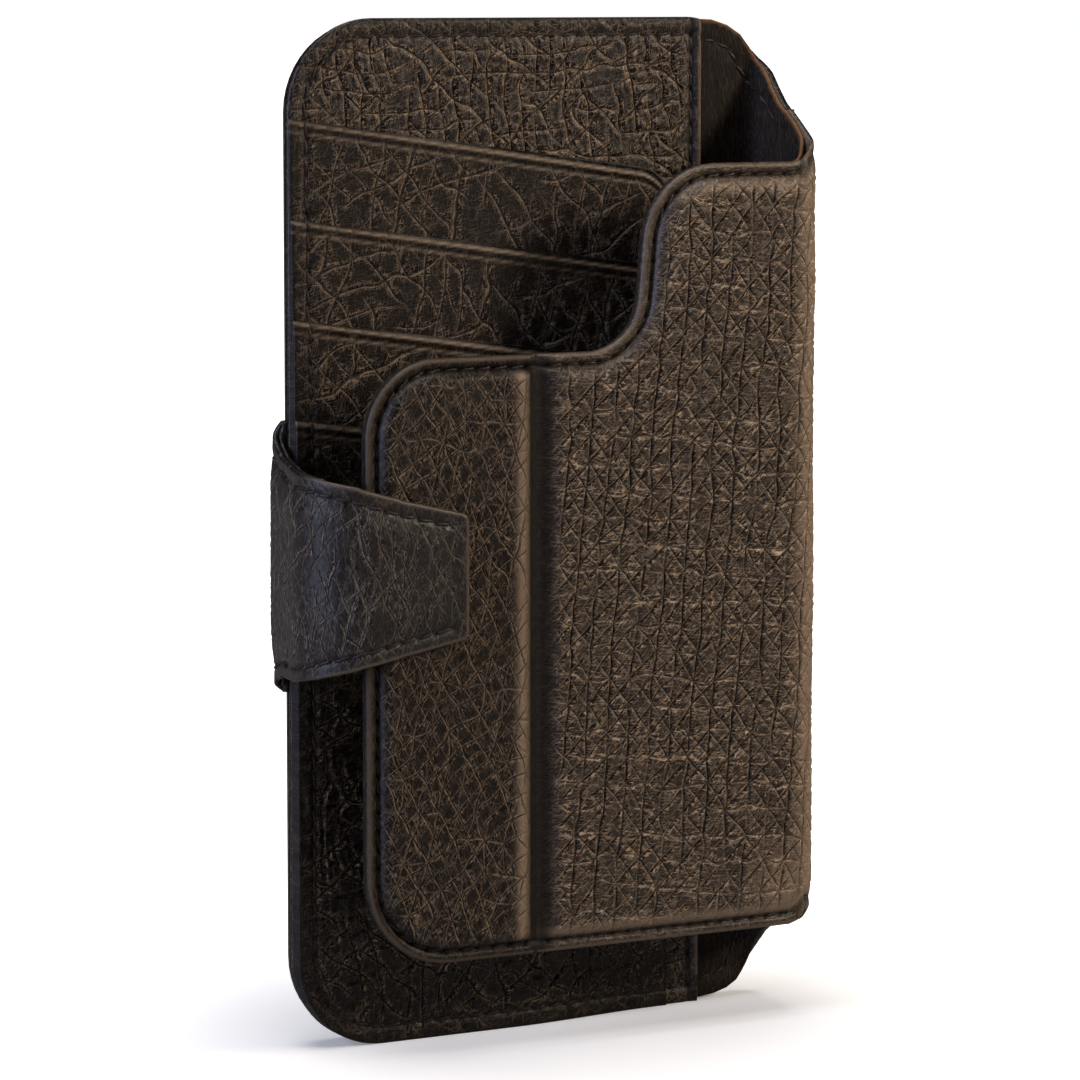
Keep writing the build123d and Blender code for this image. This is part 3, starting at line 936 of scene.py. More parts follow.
def unrolled(plan, edge, lift):
    """An edge's points in the flat pattern, moved up by lift."""
    return [(along(plan, x, y), z + lift) for x, y, z in edge]


def rear_shape(plan, i=0.0):
    """The rear sheet's pattern, smaller by i: the cover and, round the bend, half of the spine."""
    points = [(i, i), *unrolled(plan, REAR_BOTTOM, i), *unrolled(plan, REAR_TOP, -i), (i, COVER_TOP - i)]
    radii = [13 - i, *[1.2] * 11, 0, 0, *[1.2] * 9, 13 - i]
    return Outline(rounded(points, radii, 7.0), lambda m: m[0] > plan.length - 0.02)


def front_shape(plan, i=0.0):
    """The wide flap's pattern, smaller by i: the panel and, round the bend, half of the spine."""
    points = [(GROOVE_X, FLAP_LOW + i), *unrolled(plan, FRONT_BOTTOM, i), *unrolled(plan, FRONT_TOP, -i)]
    points += [(49.3 + i, FLAP_HIGH - i), (46.9 + i, FLAP_STEP - i), (GROOVE_X, FLAP_STEP - i)]
    radii = [0, *[2.5] * 5, 0, 0, *[2.5] * 6, 11.5 - i, 12 + i, 0]
    ends = GROOVE_X + 0.02, plan.length - 0.02
    return Outline(rounded(points, radii), lambda m: m[0] < ends[0] or m[0] > ends[1])


def narrow_shape(i=0.0):
    """The narrow flap's pattern, smaller by i."""
    left = FLAP_LEFT + i
    low = FLAP_LOW + i
    high = FLAP_STEP - i
    points = ((left, low), (GROOVE_X, low), (GROOVE_X, high), (left, high))
    return Outline(rounded(points, (13 - i, 0, 0, 11 - i)), lambda m: m[0] > GROOVE_X - 0.02)


REAR_SHAPE = rear_shape(REAR_PLAN)
WIDE_SHAPE = front_shape(FRONT_PLAN)
NARROW_SHAPE = narrow_shape()
NARROW_PLAN = Plan([(0, FLAP_FACE), (40, FLAP_FACE)], [], -1)


# ------------------------------------------------------------------ flap
def pad_depth(d, reach):
    """How far below the pad's top a padded face lies at this distance from its edge.

    From the edge inwards there is a rim, a stitched valley and then a shoulder of this reach.
    """
    t = np.clip((d - FLAP_SEAM - 0.1) / reach, 0, 1)
    rise = np.sqrt(np.clip(1 - (1 - t) ** 2, 0, 1))
    rise = 0.55 * rise + 0.45 * smooth(t)
    rim = PAD - 0.18 * bell(d, 0.75, 0.55)
    return rim * (1 - rise) + 0.34 * bell(d, FLAP_SEAM, 0.34)


def groove_depth(x):
    right = 1 - smooth((x - GROOVE_X - 0.1) / 3.3)
    left = 1 - smooth((GROOVE_X - x - 0.4) / 1.7)
    return 1.42 * np.where(x > GROOVE_X, right, left)


def joined(a, b):
    """The deeper of two depths, with a soft change from one to the other."""
    return (np.abs(a) ** 4 + np.abs(b) ** 4) ** 0.25


def flap_back(x, z, d):
    """The flap leather's hidden side: thick at the turned rim and under the groove."""
    under_groove = smooth((x - 27.6) / 0.8) * (1 - smooth((x - 34.6) / 0.8))
    return -LEATHER - 1.15 * np.maximum(1 - smooth((d - 2.9) / 0.4), under_groove)


WIDE_SEAM = inset_line(WIDE_SHAPE, FLAP_SEAM, lambda x: (x < 78.6) & (x > GROOVE_X + 0.4))
NARROW_SEAM = inset_line(NARROW_SHAPE, FLAP_SEAM, lambda x: x < GROOVE_X - 0.4)
WIDE_HOLES = holes_of(WIDE_SEAM)
NARROW_HOLES = holes_of(NARROW_SEAM)


def wide_face(x, z, d):
    turn = 1 - smooth((x - 75.2) / 4.6)
    low_corner = smooth((30.0 - z) / 10.0) * smooth((x - 60.0) / 8.0)
    depth = pad_depth(d, 1.9 + 0.9 * low_corner)
    pucker = 0.10 * noise(x, z * 0.25, 1.6, 71) * bell(d, 4.0, 2.0) * smooth((x - 44) / 4)
    shape = joined(depth * turn, groove_depth(x) * (1 - smooth((x - 40) / 2)))
    wave = 0.16 * noise(x * 0.3, z, 9.0, 72) * smooth((x - 68) / 5) * smooth(d / 4)
    swing = -0.011 * np.clip(x - 67.0, 0, 8) ** 2 * (1 - smooth((x - 75) / 4))
    return -shape + pucker * turn + wave + swing


def wide_back(x, z, d):
    bend = smooth((x - 73) / 2)
    return flap_back(x, z, d) * (1 - bend) - LEATHER * bend


# Painted highlight on the wide flap: a pale band where the face turns into the right bend, along the lower
# and upper shoulders, at the lower right corner and along the rim's crest, where the light catches them.
def wide_painted_highlight(x, z, d):
    inner = smooth((d - 2) / 2)
    right = smooth((x - 71.0) / 4.5) * (1 - smooth((x - 82) / 2)) * 0.75 * inner
    shoulder = bell(d, 3.7, 1.3) * (smooth((18 - z) / 2) + 0.55 * smooth((z - 118) / 3))
    corner = smooth((30 - z) / 12) * smooth((x - 62) / 9) * 0.6 * smooth(d - 2)
    edge = 0.55 * bell(d, 0.35, 0.22)
    return np.maximum(np.maximum(right, shoulder), np.maximum(corner, edge))


def wide_grain(x, z, d):
    right = smooth((x - 70.5) / 7.0)
    low = smooth((26.0 - z) / 9.0)
    edge = smooth((d - 2.2) / 2.2)
    groove = smooth((x - GROOVE_X - 1.6) / 2.4)
    amount = (1 - 0.45 * right) * (1 - 0.30 * low) * (0.18 + 0.82 * edge) * (0.08 + 0.92 * groove)
    # painted shade: darker in the groove and in the stitched valley
    dark = bell(x, 31.8, 1.6) + 0.8 * bell(d, FLAP_SEAM, 0.4) * (x < 78.6)
    return grain_wide(x, z) * amount + dimples(x, z, WIDE_HOLES), dark, amount


def narrow_face(x, z, d):
    bulge = 0.18 * bell(x, 28.0, 1.6) * smooth((d - 2.5) / 3)
    return -joined(pad_depth(d, 1.6), groove_depth(x)) + bulge


# Painted highlight on the narrow flap: the ridge beside the groove and the rim's crest.
def narrow_painted_highlight(x, z, d):
    return np.maximum(bell(x, 28.4, 0.9) * smooth(d - 2), 0.5 * bell(d, 0.35, 0.22))


def narrow_grain(x, z, d):
    edge = smooth((d - 2.0) / 1.8)
    groove = smooth((GROOVE_X - 1.4 - x) / 2.0)
    amount = (0.18 + 0.82 * edge) * (0.08 + 0.92 * groove)
    # painted shade: darker in the groove and in the stitched valley
    dark = bell(x, 31.4, 1.2) + 0.8 * bell(d, FLAP_SEAM, 0.4)
    return grain_narrow(x, z) * amount + dimples(x, z, NARROW_HOLES), dark, amount


wide = sheet(
    "flap_wide_skin", WIDE_SHAPE, FRONT_PLAN, wide_face, wide_back, 0.265,
    grain=wide_grain, edge=0.5, painted_highlight=wide_painted_highlight, net=(grain_wide, 11),
)
narrow = sheet(
    "flap_narrow_skin", NARROW_SHAPE, NARROW_PLAN, narrow_face, flap_back, 0.27,
    grain=narrow_grain, edge=0.5, painted_highlight=narrow_painted_highlight, net=(grain_narrow, 211),
)


# ------------------------------------------------------------------ flap lining
LINING_DEPTH = -12.7
FLAP_LINING_PLAN = Plan([(0, LINING_DEPTH), (75.4, LINING_DEPTH), (75.4, SPINE_MID)], [1.6], 1)
FLAP_LINING_SHAPE = front_shape(FLAP_LINING_PLAN, 0.12)
NARROW_LINING_PLAN = Plan([(0, LINING_DEPTH), (40, LINING_DEPTH)], [], 1)
NARROW_LINING_SHAPE = narrow_shape(0.12)
INNER_SEAM = inset_line(FLAP_LINING_SHAPE, FLAP_SEAM, lambda x: (x < 74.0) & (x > GROOVE_X + 0.4))
INNER_NARROW_SEAM = inset_line(NARROW_LINING_SHAPE, FLAP_SEAM, lambda x: x < GROOVE_X - 0.4)


def raw_edge(shape):
    """Where a lining's undyed cut edge shows: along the spine's top."""
    return lambda x, z: smooth((0.30 - shape.free(x, z)) / 0.12) * smooth((x - 65.8) / 0.8) * (z > 100)


def lining_face(x, z, d):
    return -0.14 * bell(d, FLAP_SEAM, 0.35)


flap_lining = sheet(
    "flap_wide_lining_skin", FLAP_LINING_SHAPE, FLAP_LINING_PLAN, lining_face, level(-LINING), 0.6,
    edge=0.25, rows=4, grain=grain_brushed, raw=raw_edge(FLAP_LINING_SHAPE),
)
narrow_lining = sheet(
    "flap_narrow_lining_skin", NARROW_LINING_SHAPE, NARROW_LINING_PLAN, lining_face, level(-LINING), 0.6,
    edge=0.25, rows=4, grain=grain_brushed,
)


# ------------------------------------------------------------------ rear cover and half of the spine
BACK_DIP = -0.22
REAR_SEAM = inset_line(REAR_SHAPE, BACK_SEAM, lambda x: x < 72.0)
REAR_LINING_PLAN = Plan([(0, 1.0), (75.4, 1.0), (75.4, SPINE_MID)], [2.6], -1)
REAR_LINING_SHAPE = rear_shape(REAR_LINING_PLAN, 0.3)
LINING_DIP = -0.2
LINING_SEAM_IN = COVER_SEAM + 0.4
LINING_SEAM = inset_line(
    REAR_LINING_SHAPE, LINING_SEAM_IN, lambda x: (x > 66.1) & (x < REAR_LINING_PLAN.length - 0.5)
)


def rear_face(x, z, d):
    return BACK_DIP * bell(d, BACK_SEAM, 0.4) * (1 - smooth((x - 71) / 2))


def rear_wall(rows=8):
    """The turned edge: a wide round on the cover, an ordinary cut edge on the spine."""

    def blended(x, cover, spine):
        flat = 1 - smooth((x - 69.5) / 3.5)
        return flat * cover + (1 - flat) * spine

    def row(t):
        quarter = t * math.pi / 2
        half = math.pi * t
        insets = 0.3 + 1.9 * (1 - math.sin(quarter)), 0.22 + 0.3 * (1 - math.sin(half))
        heights = -2.38 * (1 - math.cos(quarter)), -LEATHER * (1 - math.cos(half)) / 2
        return lambda x: blended(x, *insets), lambda x: blended(x, *heights)

    return [row(k / rows) for k in range(rows + 1)]


def rear_back(x, z, d):
    bend = smooth((x - 72) / 2)
    rim = -LEATHER - 1.15 * (1 - smooth((d - 1.0) / 0.3))
    return rim * (1 - bend) - LEATHER * bend


def rear_grain(x, z, d):
    edge = smooth((d - 2.3) / 0.8) * (0.35 + 0.65 * smooth((d - 4.2) / 1.5))
    amount = 0.75 * edge * (1 - 0.4 * smooth((x - 70) / 5))
    return grain_cover(x, z, 1411) * amount, np.zeros_like(x), amount


def rear_lining_face(x, z, d):
    return LINING_DIP * bell(d, LINING_SEAM_IN, 0.4) + 0.06 * noise(x * 1.4, z * 0.3, 3.0, 91)


def rear_lining_grain(x, z, d):
    height, crease, lip = grain_brushed(x, z, d)
    band = 1 - smooth((d - 2.6) / 0.8)
    return height + grain_fine(x, z, 1911) * (0.7 + 1.2 * band), crease, lip


rear = sheet(
    "rear_cover_skin", REAR_SHAPE, REAR_PLAN, rear_face, rear_back, 0.42,
    grain=rear_grain, wall=rear_wall(), net=(grain_cover, 1411),
)
rear_lining = sheet(
    "rear_lining_skin", REAR_LINING_SHAPE, REAR_LINING_PLAN, rear_lining_face, level(-LINING), 0.45,
    edge=0.22, rows=4, grain=rear_lining_grain, raw=raw_edge(REAR_LINING_SHAPE),
)


# ------------------------------------------------------------------ card panel and pockets
PANEL_RIGHT = 65.7
PANEL_SEAM_X = 63.95
PANEL_DIP = -0.30
CARD_DIP = -0.26
POCKET_RIGHT = 60.2
POCKET_TOP = 131.2
POCKET_DROP = 13.9
POCKET_SLOPE = 0.15
POCKET_ROUND = 5.0
POCKET_SHEET = 0.6
CARD = Plan([(0, 0), (80, 0)], [], -1)
FULL_COVER = Outline(COVER_OUTLINE)
PANEL_SHAPE = Outline(left_of(COVER_OUTLINE, PANEL_RIGHT))
FULL_SEAM = inset_line(FULL_COVER, COVER_SEAM, lambda x: x < 63.2)
PANEL_SEAM = [np.array([[PANEL_SEAM_X, z] for z in np.arange(2.4, 142.9, 0.5)])]
CARD_HOLES = np.concatenate([holes_of(FULL_SEAM), holes_of(PANEL_SEAM)])


def pocket_top(k, x):
    """Height of a pocket's sloping top edge, which turns down at its right end."""
    corner = np.clip((x - (POCKET_RIGHT - POCKET_ROUND)) / POCKET_ROUND, 0, 1)
    drop = POCKET_SLOPE * x
    return POCKET_TOP - POCKET_DROP * (k - 1) - drop - POCKET_ROUND * (1 - np.sqrt(1 - corner**2))


def thinned(x, z):
    """Share of the pockets' thickness: they lie close together at the lower right."""
    return 1 - 0.9 * smooth((32.0 - z) / 16.0) * smooth((x - 34.0) / 25.0)


def card_layers(x, z):
    """Height of the top-most card leather at a place on the cover."""
    h = np.zeros_like(x)
    for k in (1, 2, 3, 4):
        covered = smooth((pocket_top(k, x) - z) / 0.5 + 0.5) * (x < POCKET_RIGHT)
        h = h + POCKET_SHEET * thinned(x, z) * covered
    return h


def seam_valley(outer):
    return CARD_DIP * bell(outer, COVER_SEAM, 0.38)


def panel_face(x, z, d):
    outer = FULL_COVER.free(x, z)
    side = PANEL_RIGHT - x
    roll = 0.40 * bell(side, 0.5, 0.48) * smooth(outer / 1.2)
    seam = PANEL_DIP * bell(side, 1.65, 0.40)
    rim = 0.10 * bell(outer, 1.1, 0.8)
    return seam_valley(outer) + roll + seam + rim


def panel_grain(x, z, d):
    outer = FULL_COVER.free(x, z)
    side = PANEL_RIGHT - x
    amount = (0.35 + 0.65 * smooth((outer - 2.4) / 1.5)) * (0.15 + 0.85 * smooth((side - 2.0) / 1.5))
    # painted shade in the seam's valley beside the rolled edge
    return grain_cover(x, z) * amount + dimples(x, z, CARD_HOLES, 0.2), bell(side, 1.6, 0.45), amount


# Painted highlight along the crest of the panel's rolled right edge.
def panel_painted_highlight(x, z, d):
    return bell(PANEL_RIGHT - x, 0.35, 0.3) * (0.75 + 0.25 * noise(x, z, 1.3, 77)) * (z > 4)


def pocket(k):
    """One card pocket: a sheet over the ones behind it, with a folded top edge."""
    corner = pocket_top(k, POCKET_RIGHT - POCKET_ROUND)
    left = POCKET_TOP - POCKET_DROP * (k - 1)
    points = ((0, 0), (POCKET_RIGHT, 0), (POCKET_RIGHT, corner), (0, left))
    shape = Outline(rounded(points, (13, 0, 5, 0)))
    last = k == 4
    seed = 2411 if last else 611 + 10 * k
    kind = grain_cover if last else grain_pocket

    def face(x, z, d):
        down = pocket_top(k, x) - z
        fold = 0.10 * bell(down, 0.55, 0.4) - 0.20 * bell(down, 1.35, 0.2)
        inner = smooth((x - 3.0) / 1.0)
        height = POCKET_SHEET * k * thinned(x, z) + seam_valley(FULL_COVER.free(x, z))
        return height + fold * (0.25 + 0.75 * inner) - 0.25 * bell(down, 0, 0.3)

    def back(x, z, d):
        thin = thinned(x, z)
        return (POCKET_SHEET * (k - 1) + 0.02) * thin - 0.1 * (1 - thin)

    def grain(x, z, d):
        outer = FULL_COVER.free(x, z)
        down = pocket_top(k, x) - z
        amount = (0.35 + 0.65 * smooth((outer - 2.4) / 1.5)) * (0.2 + 0.8 * smooth((down - 1.6) / 1.6))
        if last:
            amount = amount * (0.45 + 0.55 * smooth((60.0 - z) / 20.0))
        height = kind(x, z, seed) * amount + dimples(x, z, CARD_HOLES, 0.2)
        return height, np.zeros_like(x), amount

    # Painted highlight along the pocket's folded top edge, and a thinner one on the crease below it.
    def painted_highlight(x, z, d):
        down = pocket_top(k, x) - z
        return 0.9 * bell(down, 0.42, 0.22) + 0.45 * bell(down, 1.8, 0.16)

    return sheet(
        f"card_pocket_{k}_skin", shape, CARD, face, back, 0.34 if last else 0.36,
        grain=grain, edge=0.26, rows=5, painted_highlight=painted_highlight, net=(kind, seed),
    )


panel = sheet(
    "card_panel_skin", PANEL_SHAPE, CARD, panel_face, level(-1.0), 0.36,
    grain=panel_grain, edge=0.5, painted_highlight=panel_painted_highlight, net=(grain_cover, 411),
)
pockets = [pocket(k) for k in (1, 2, 3, 4)]


# ------------------------------------------------------------------ strap
STRAP_PLAN = Plan([(12, 2.8), (-2.1, 2.8), (-4.5, -17.6), (19.5, -17.6)], [1.6, 8.6], -1)
STRAP_LINING_PLAN = Plan([(12, 1.6), (-0.95, 1.6), (-3.15, -16.4), (19.4, -16.4)], [0.5, 7.4], -1)


def strap_shape(plan, depth, low, high, inset=0.0):
    """The strap's pattern between two places on its route; a place at an end leaves that end finished."""
    end = plan.length
    # place along the strap, half its width there, and how far its middle lies above STRAP_MID
    stations = np.array([
        (0.0, 19.6, 0.6),
        (along(plan, -0.6, 2.8 - depth), 19.2, 0.7),
        (along(plan, -2.1, 0.9), 16.8, 0.2),
        (along(plan, -2.6, -1.5), 15.5, -0.2),
        (along(plan, -3.2, -7.0), 14.9, -0.7),
        (along(plan, -2.2, -14.0), 13.8, -0.6),
        (along(plan, 2.6, -17.6 + depth), 12.6, -0.5),
        (along(plan, 9.0, -17.6 + depth), 11.0, -0.8),
        (end, 8.7, -1.1),
    ])
    places = stations[:, 0]
    fine = np.unique(np.round(np.concatenate([places, np.linspace(0, end, 40)]), 4))
    half = np.interp(fine, places, stations[:, 1] - inset)
    for _ in range(2):
        half[1:-1] = (half[:-2] + 2 * half[1:-1] + half[2:]) / 4
    middle = np.interp(fine, places, STRAP_MID + stations[:, 2])
    kept = fine[(fine >= low - 1e-6) & (fine <= high + 1e-6)]
    xs = np.concatenate([[max(low, 0)], kept, [min(high, end - inset)]])
    xs = np.unique(np.round(np.clip(xs, 0, end - inset), 4))
    half = np.interp(xs, fine, half)
    middle = np.interp(xs, fine, middle)
    lower = np.stack([xs, middle - half], axis=1)
    upper = np.stack([xs, middle + half], axis=1)[::-1]
    loop = np.concatenate([lower, upper])
    if high >= end:
        tips = (len(lower) - 1, len(lower))
        tip = loop[tips[0]]
        trimmed = [(p, i in tips) for i, p in enumerate(loop) if i in tips or abs(p[0] - tip[0]) > 1.6]
        loop = rounded([p for p, _ in trimmed], [1.4 * at_tip for _, at_tip in trimmed], 8.0)

    def is_cut(m):
        return (low > 0.01 and m[0] < low + 0.02) or (high < end - 0.01 and m[0] > high - 0.02)

    return Outline(loop, is_cut)


STRAP_END = STRAP_PLAN.length
STRAP_CUT = along(STRAP_PLAN, -3.2, -6.0)
STRAP_HIDDEN = along(STRAP_PLAN, -1.0, 2.8)
# where the painted highlight on the strap's rim begins
STRAP_HIGHLIGHT_FROM = along(STRAP_PLAN, -3.2, -9.0)
SIDE_SHAPE = strap_shape(STRAP_PLAN, 0.0, 0.0, STRAP_CUT)
TAB_SHAPE = strap_shape(STRAP_PLAN, 0.0, STRAP_CUT, STRAP_END)
SIDE_SEAM = inset_line(SIDE_SHAPE, STRAP_SEAM, lambda x: (x > STRAP_HIDDEN + 1.0) & (x < STRAP_CUT - 0.3))
TAB_SEAM = inset_line(TAB_SHAPE, STRAP_SEAM, lambda x: (x > STRAP_CUT + 0.3) & (x < STRAP_END - 2.6))


def strap_face(x, z, d):
    valley = -0.24 * bell(d, STRAP_SEAM, 0.36) * smooth((STRAP_END - x - 2.0) / 1.0)
    belly = 0.35 * smooth((d - 2.0) / 4.0)
    return valley + belly - 0.35 + 0.10 * noise(x, z, 7.0, 93) * smooth(d / 2)


# Painted highlight along the tab's rim, from partway round the bend to the tip.
def strap_painted_highlight(x, z, d):
    return 0.75 * bell(d, 0.3, 0.22) * smooth((x - STRAP_HIGHLIGHT_FROM) / 8.0)


def strap_piece(name, shape, seam, painted_highlight=None):
    """One leather of the strap; the side and the tab meet at a cut."""
    holes = holes_of(seam)

    def grain(x, z, d):
        amount = 0.5 + 0.9 * smooth((d - 1.8) / 1.5)
        return grain_fine(x, z) * amount + dimples(x, z, holes), np.zeros_like(x), amount

    return sheet(
        name, shape, STRAP_PLAN, strap_face, level(-LEATHER), 0.3,
        back_grid=0.9, grain=grain, edge=0.4, painted_highlight=painted_highlight, net=(grain_fine, 811),
    )


def strap_lining(name, low, high):
    shape = strap_shape(STRAP_LINING_PLAN, 1.2, low, high, 0.1)
    return sheet(
        name, shape, STRAP_LINING_PLAN, level(0.0), level(-LINING), 0.6,
        back_grid=0.6, edge=0.22, rows=4,
    )


strap_side = strap_piece("strap_side_skin", SIDE_SHAPE, SIDE_SEAM)
strap_tab = strap_piece("strap_tab_skin", TAB_SHAPE, TAB_SEAM, strap_painted_highlight)
LINING_CUT = along(STRAP_LINING_PLAN, -1.9, -6.0)
side_lining = strap_lining("strap_side_lining_skin", STRAP_HIDDEN - 1.0, LINING_CUT)
tab_lining = strap_lining("strap_tab_lining_skin", LINING_CUT, STRAP_LINING_PLAN.length)


# ------------------------------------------------------------------ stitches
def seam_height(face, shape):
    return lambda x, z: face(x, z, shape.free(x, z))


ON_WIDE = seam_height(wide_face, WIDE_SHAPE)
ON_NARROW = seam_height(narrow_face, NARROW_SHAPE)
ON_LINING = seam_height(lining_face, FLAP_LINING_SHAPE)
ON_NARROW_LINING = seam_height(lining_face, NARROW_LINING_SHAPE)
ON_SIDE = seam_height(strap_face, SIDE_SHAPE)
ON_TAB = seam_height(strap_face, TAB_SHAPE)
wide_thread = stitches("flap_wide_stitches", WIDE_SEAM, FRONT_PLAN, ON_WIDE, 21)
narrow_thread = stitches("flap_narrow_stitches", NARROW_SEAM, NARROW_PLAN, ON_NARROW, 22)
inner_thread = stitches("flap_wide_inner_stitches", INNER_SEAM, FLAP_LINING_PLAN, ON_LINING, 23)
inner_narrow_thread = stitches(
    "flap_narrow_inner_stitches", INNER_NARROW_SEAM, NARROW_LINING_PLAN, ON_NARROW_LINING, 24
)
card_thread = stitches("rear_edge_stitches", FULL_SEAM, CARD, lambda x, z: card_layers(x, z) + CARD_DIP, 25)
panel_thread = stitches("card_panel_stitches", PANEL_SEAM, CARD, level(PANEL_DIP), 26, tilt=4)
lining_thread = stitches("rear_lining_stitches", LINING_SEAM, REAR_LINING_PLAN, level(LINING_DIP), 27)
back_thread = stitches("rear_cover_back_stitches", REAR_SEAM, REAR_PLAN, level(BACK_DIP), 28)
side_thread = stitches("strap_side_stitches", SIDE_SEAM, STRAP_PLAN, ON_SIDE, 29, thickness=0.5)
tab_thread = stitches("strap_tab_stitches", TAB_SEAM, STRAP_PLAN, ON_TAB, 30, thickness=0.5)


# ------------------------------------------------------------------ grip pad on the flap's inner side
def ribbed_pad():
    """A soft pad with rows of small round nubs that holds the phone."""
    outline = Outline(rounded(((37, 20), (71, 20), (71, 92), (37, 92)), (4, 4, 4, 4), 6.0))
    plan = Plan([(0, -11.9), (80, -11.9)], [], 1)
    pitch = 2.4

    def face(x, z, d):
        row = np.floor(z / pitch)
        u = (x / pitch + 0.5 * (row % 2)) % 1.0 - 0.5
        v = (z / pitch) % 1.0 - 0.5
        nub = np.clip(1 - (u * u + v * v) / 0.11, 0, 1)
        return -0.32 + 0.30 * np.sqrt(nub) * smooth((d - 1.6) / 0.8) + 0.16 * bell(d, 0.8, 0.5)

    return sheet("phone_grip_skin", outline, plan, face, level(-0.8), 0.3, edge=0.3, rows=4)


grip = ribbed_pad()


# ------------------------------------------------------------------ finishes, bodies and replaced nodes
def case_point(x, y, z=70.0):
    return tuple(float(c) for c in metres(np.array([x, y, z])))


def dress(obj, material):
    obj.data.materials.append(material)
    obj.data.set_sharp_from_angle(angle=math.radians(62.0))


REAR_BLEND = ("rear_cover", "spine", case_point(72.9, 4.3), case_point(77.5, -0.3))
FRONT_BLEND = ("spine", "flap_wide", case_point(77.3, -11.6), case_point(73.1, -15.8))
GROOVE_BLEND = ("flap_wide", "flap_narrow", case_point(32.4, -15), case_point(30.3, -15))
ROOT_BLEND = ("rear_cover", "strap_side", case_point(-0.9, 3.0), case_point(-2.5, 1.0))
TAB_BLEND = ("strap_side", "strap_tab", case_point(-3.9, -10.5), case_point(3.0, -17.6))

for obj, material, slot_name, how in (
    (rear, COVER, "outer_leather", REAR_BLEND),
    (rear_lining, LINING_SKIN, "lining_leather", REAR_BLEND),
    (lining_thread, THREAD, "thread", REAR_BLEND),
    (wide, OUTER, "outer_leather", FRONT_BLEND),
    (wide_thread, THREAD, "thread", FRONT_BLEND),
    (flap_lining, LINING_SKIN, "lining_leather", FRONT_BLEND),
    (narrow, NARROW_SHADED, "outer_leather", GROOVE_BLEND),
    (strap_side, STRAP, "strap_leather", ROOT_BLEND),
    (side_lining, STRAP, "strap_leather", ROOT_BLEND),
    (strap_tab, STRAP, "strap_leather", TAB_BLEND),
    (tab_lining, STRAP, "strap_leather", TAB_BLEND),
    (side_thread, THREAD, "thread", ROOT_BLEND),
    (tab_thread, THREAD, "thread", TAB_BLEND),
    (narrow_thread, THREAD, "thread", "flap_narrow"),
    (narrow_lining, LINING_SKIN, "lining_leather", GROOVE_BLEND),
    (inner_narrow_thread, THREAD, "thread", "flap_narrow"),
    (inner_thread, THREAD, "thread", "flap_wide"),
    (grip, GRIP, "grip_pad", "flap_wide"),
    (panel, COVER, "pocket_leather", "rear_cover"),
    (card_thread, THREAD, "thread", "rear_cover"),
    (panel_thread, THREAD, "thread", "rear_cover"),
    (back_thread, THREAD, "thread", "rear_cover"),
    *((p, POCKET, "pocket_leather", "rear_cover") for p in pockets),
):
    dress(obj, material)
    if isinstance(how, str):
        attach(obj, how)
    else:
        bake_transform(obj)

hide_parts("rear_cover_leather", "spine_leather", "rear_spine_fold")
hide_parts("rear_lining", "spine_lining")
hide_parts("flap_wide_leather", "spine_flap_fold", "flap_groove_fold")
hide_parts("flap_wide_lining")
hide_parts("flap_narrow_leather")
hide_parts("flap_narrow_lining")
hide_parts("strap_side_leather", "strap_root", "strap_root_fold")
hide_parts("strap_side_lining")
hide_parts("strap_tab_leather", "strap_tab_fold")
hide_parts("strap_tab_lining")
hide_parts("card_base_panel")
for k, p in enumerate(pockets, 1):
    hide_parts(f"card_pocket_{k}")
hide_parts("phone_grip_pad")
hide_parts("rear_edge_thread")
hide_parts("card_panel_seam_thread")
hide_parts("flap_wide_thread")
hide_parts("flap_narrow_thread")
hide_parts("strap_side_thread")
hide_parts("strap_tab_thread")

CAD_FINISH = {
    "rear_cover_board": BOARD,
    "flap_wide_board": BOARD,
    "flap_narrow_board": BOARD,
    "strap_magnet": STEEL,
    "closure_keeper_plate": STEEL,
}
for name, material in CAD_FINISH.items():
    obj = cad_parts[name]
    for place in obj.material_slots:
        place.material = material
    if not obj.material_slots:
        obj.data.materials.append(material)


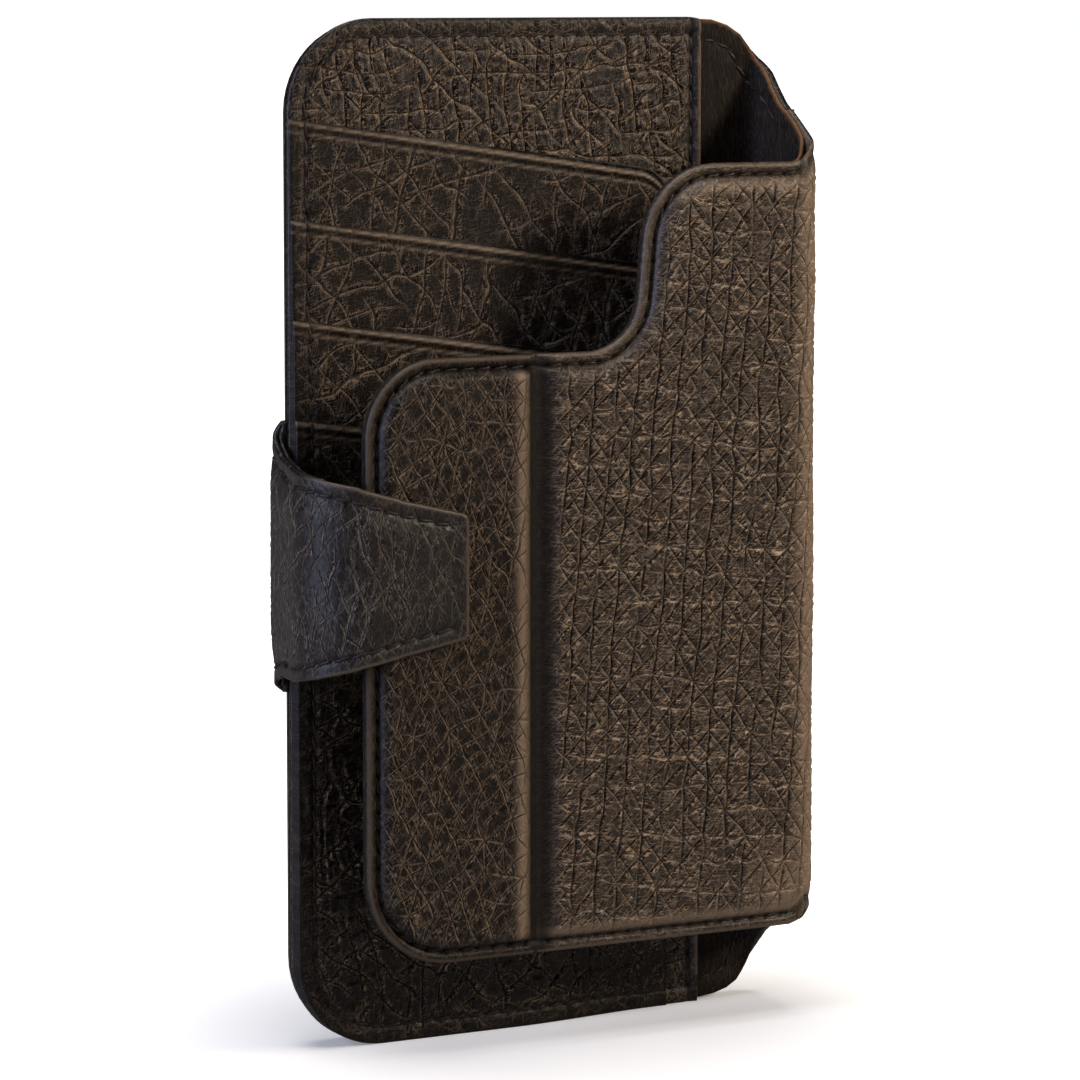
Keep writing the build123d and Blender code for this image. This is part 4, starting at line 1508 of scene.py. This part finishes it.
# ------------------------------------------------------------------ floor, light and camera
def floor_plane():
    """A pale floor that lights the case like grey card but looks white to the camera. To the camera it also
    glows, a painted glow that is faint next to the case and stronger than white away from it, so a darker
    pool of painted shade lies round the case.
    """
    mesh = bpy.data.meshes.new("studio_floor")
    mesh.from_pydata([(-6, -3, 0), (6, -3, 0), (6, 12, 0), (-6, 12, 0)], [], [(0, 1, 2, 3)])
    obj = bpy.data.objects.new("studio_floor", mesh)
    bpy.context.scene.collection.objects.link(obj)
    material = bpy.data.materials.new("studio_floor")
    tree = empty_tree(material)
    seen = node(tree, "LightPath").outputs["Is Camera Ray"]
    away = node(tree, "VectorMath", node(tree, "TexCoord").outputs["Object"], operation="LENGTH")
    # painted glow for the camera: faint next to the case, stronger than white away from it, leaving a darker
    # pool of painted shade round the case
    glow = ranged(tree, away.outputs["Value"], 0.02, 0.12, 0.17, 1.2)
    surface(tree, {
        "Base Color": mixed(tree, seen, (0.34, 0.33, 0.32), (0.94, 0.94, 0.94)),
        "Roughness": 0.9,
        "Specular IOR Level": 0.1,
        "Emission Color": (1.0, 0.99, 0.98, 1.0),
        "Emission Strength": calc(tree, "MULTIPLY", glow, seen),
    })
    mesh.materials.append(material)


def placed(name, data, rotation, location=(0, 0, 0)):
    """A lamp or camera put into the scene."""
    obj = bpy.data.objects.new(name, data)
    obj.location = location
    obj.rotation_euler = rotation
    bpy.context.scene.collection.objects.link(obj)
    return obj


def lamp(name, place, size, power, colour):
    """A rectangular lamp aimed at the middle of the case."""
    data = bpy.data.lights.new(name, "AREA")
    data.shape = "RECTANGLE"
    data.size, data.size_y = size
    data.energy = power
    data.color = colour
    aim = Vector((0.0, 0.0, 0.07)) - Vector(place)
    placed(name, data, aim.to_track_quat("-Z", "Y").to_euler(), place)


floor_plane()
lamp("key", (0.46, -0.37, 0.34), (0.12, 0.17), 2.3, (1.0, 0.86, 0.70))
lamp("left", (-0.85, -0.10, 0.30), (0.2, 0.7), 5.5, (0.60, 0.68, 1.0))
overhead = bpy.data.lights.new("overhead", "SUN")
overhead.energy = 1.6
overhead.color = (1.0, 0.97, 0.93)
overhead.angle = math.radians(38)
placed("overhead", overhead, (math.radians(4), math.radians(-7), 0))

world = bpy.data.worlds.new("studio")
sky = empty_tree(world)
dome = node(sky, "Background", Color=(1.0, 0.98, 0.96, 1.0), Strength=0.022).outputs[0]
white = node(sky, "Background", Color=(1.0, 1.0, 1.0, 1.0), Strength=1.0).outputs[0]
seen = node(sky, "LightPath").outputs["Is Camera Ray"]
node(sky, "OutputWorld", node(sky, "MixShader", seen, dome, white).outputs[0])

scene = bpy.context.scene
scene.world = world
scene.view_settings.view_transform = "Standard"
scene.view_settings.look = "None"
camera = bpy.data.cameras.new("camera")
camera.sensor_width = 36.0
camera.lens = 148.18
camera.shift_y = -0.08
camera.clip_start = 0.01
camera.clip_end = 50.0
tilt = (math.radians(90 - 6.0657), 0.0, math.radians(-27.4745))
scene.camera = placed("camera", camera, tilt, (-0.2902, -0.5552, 0.1501))
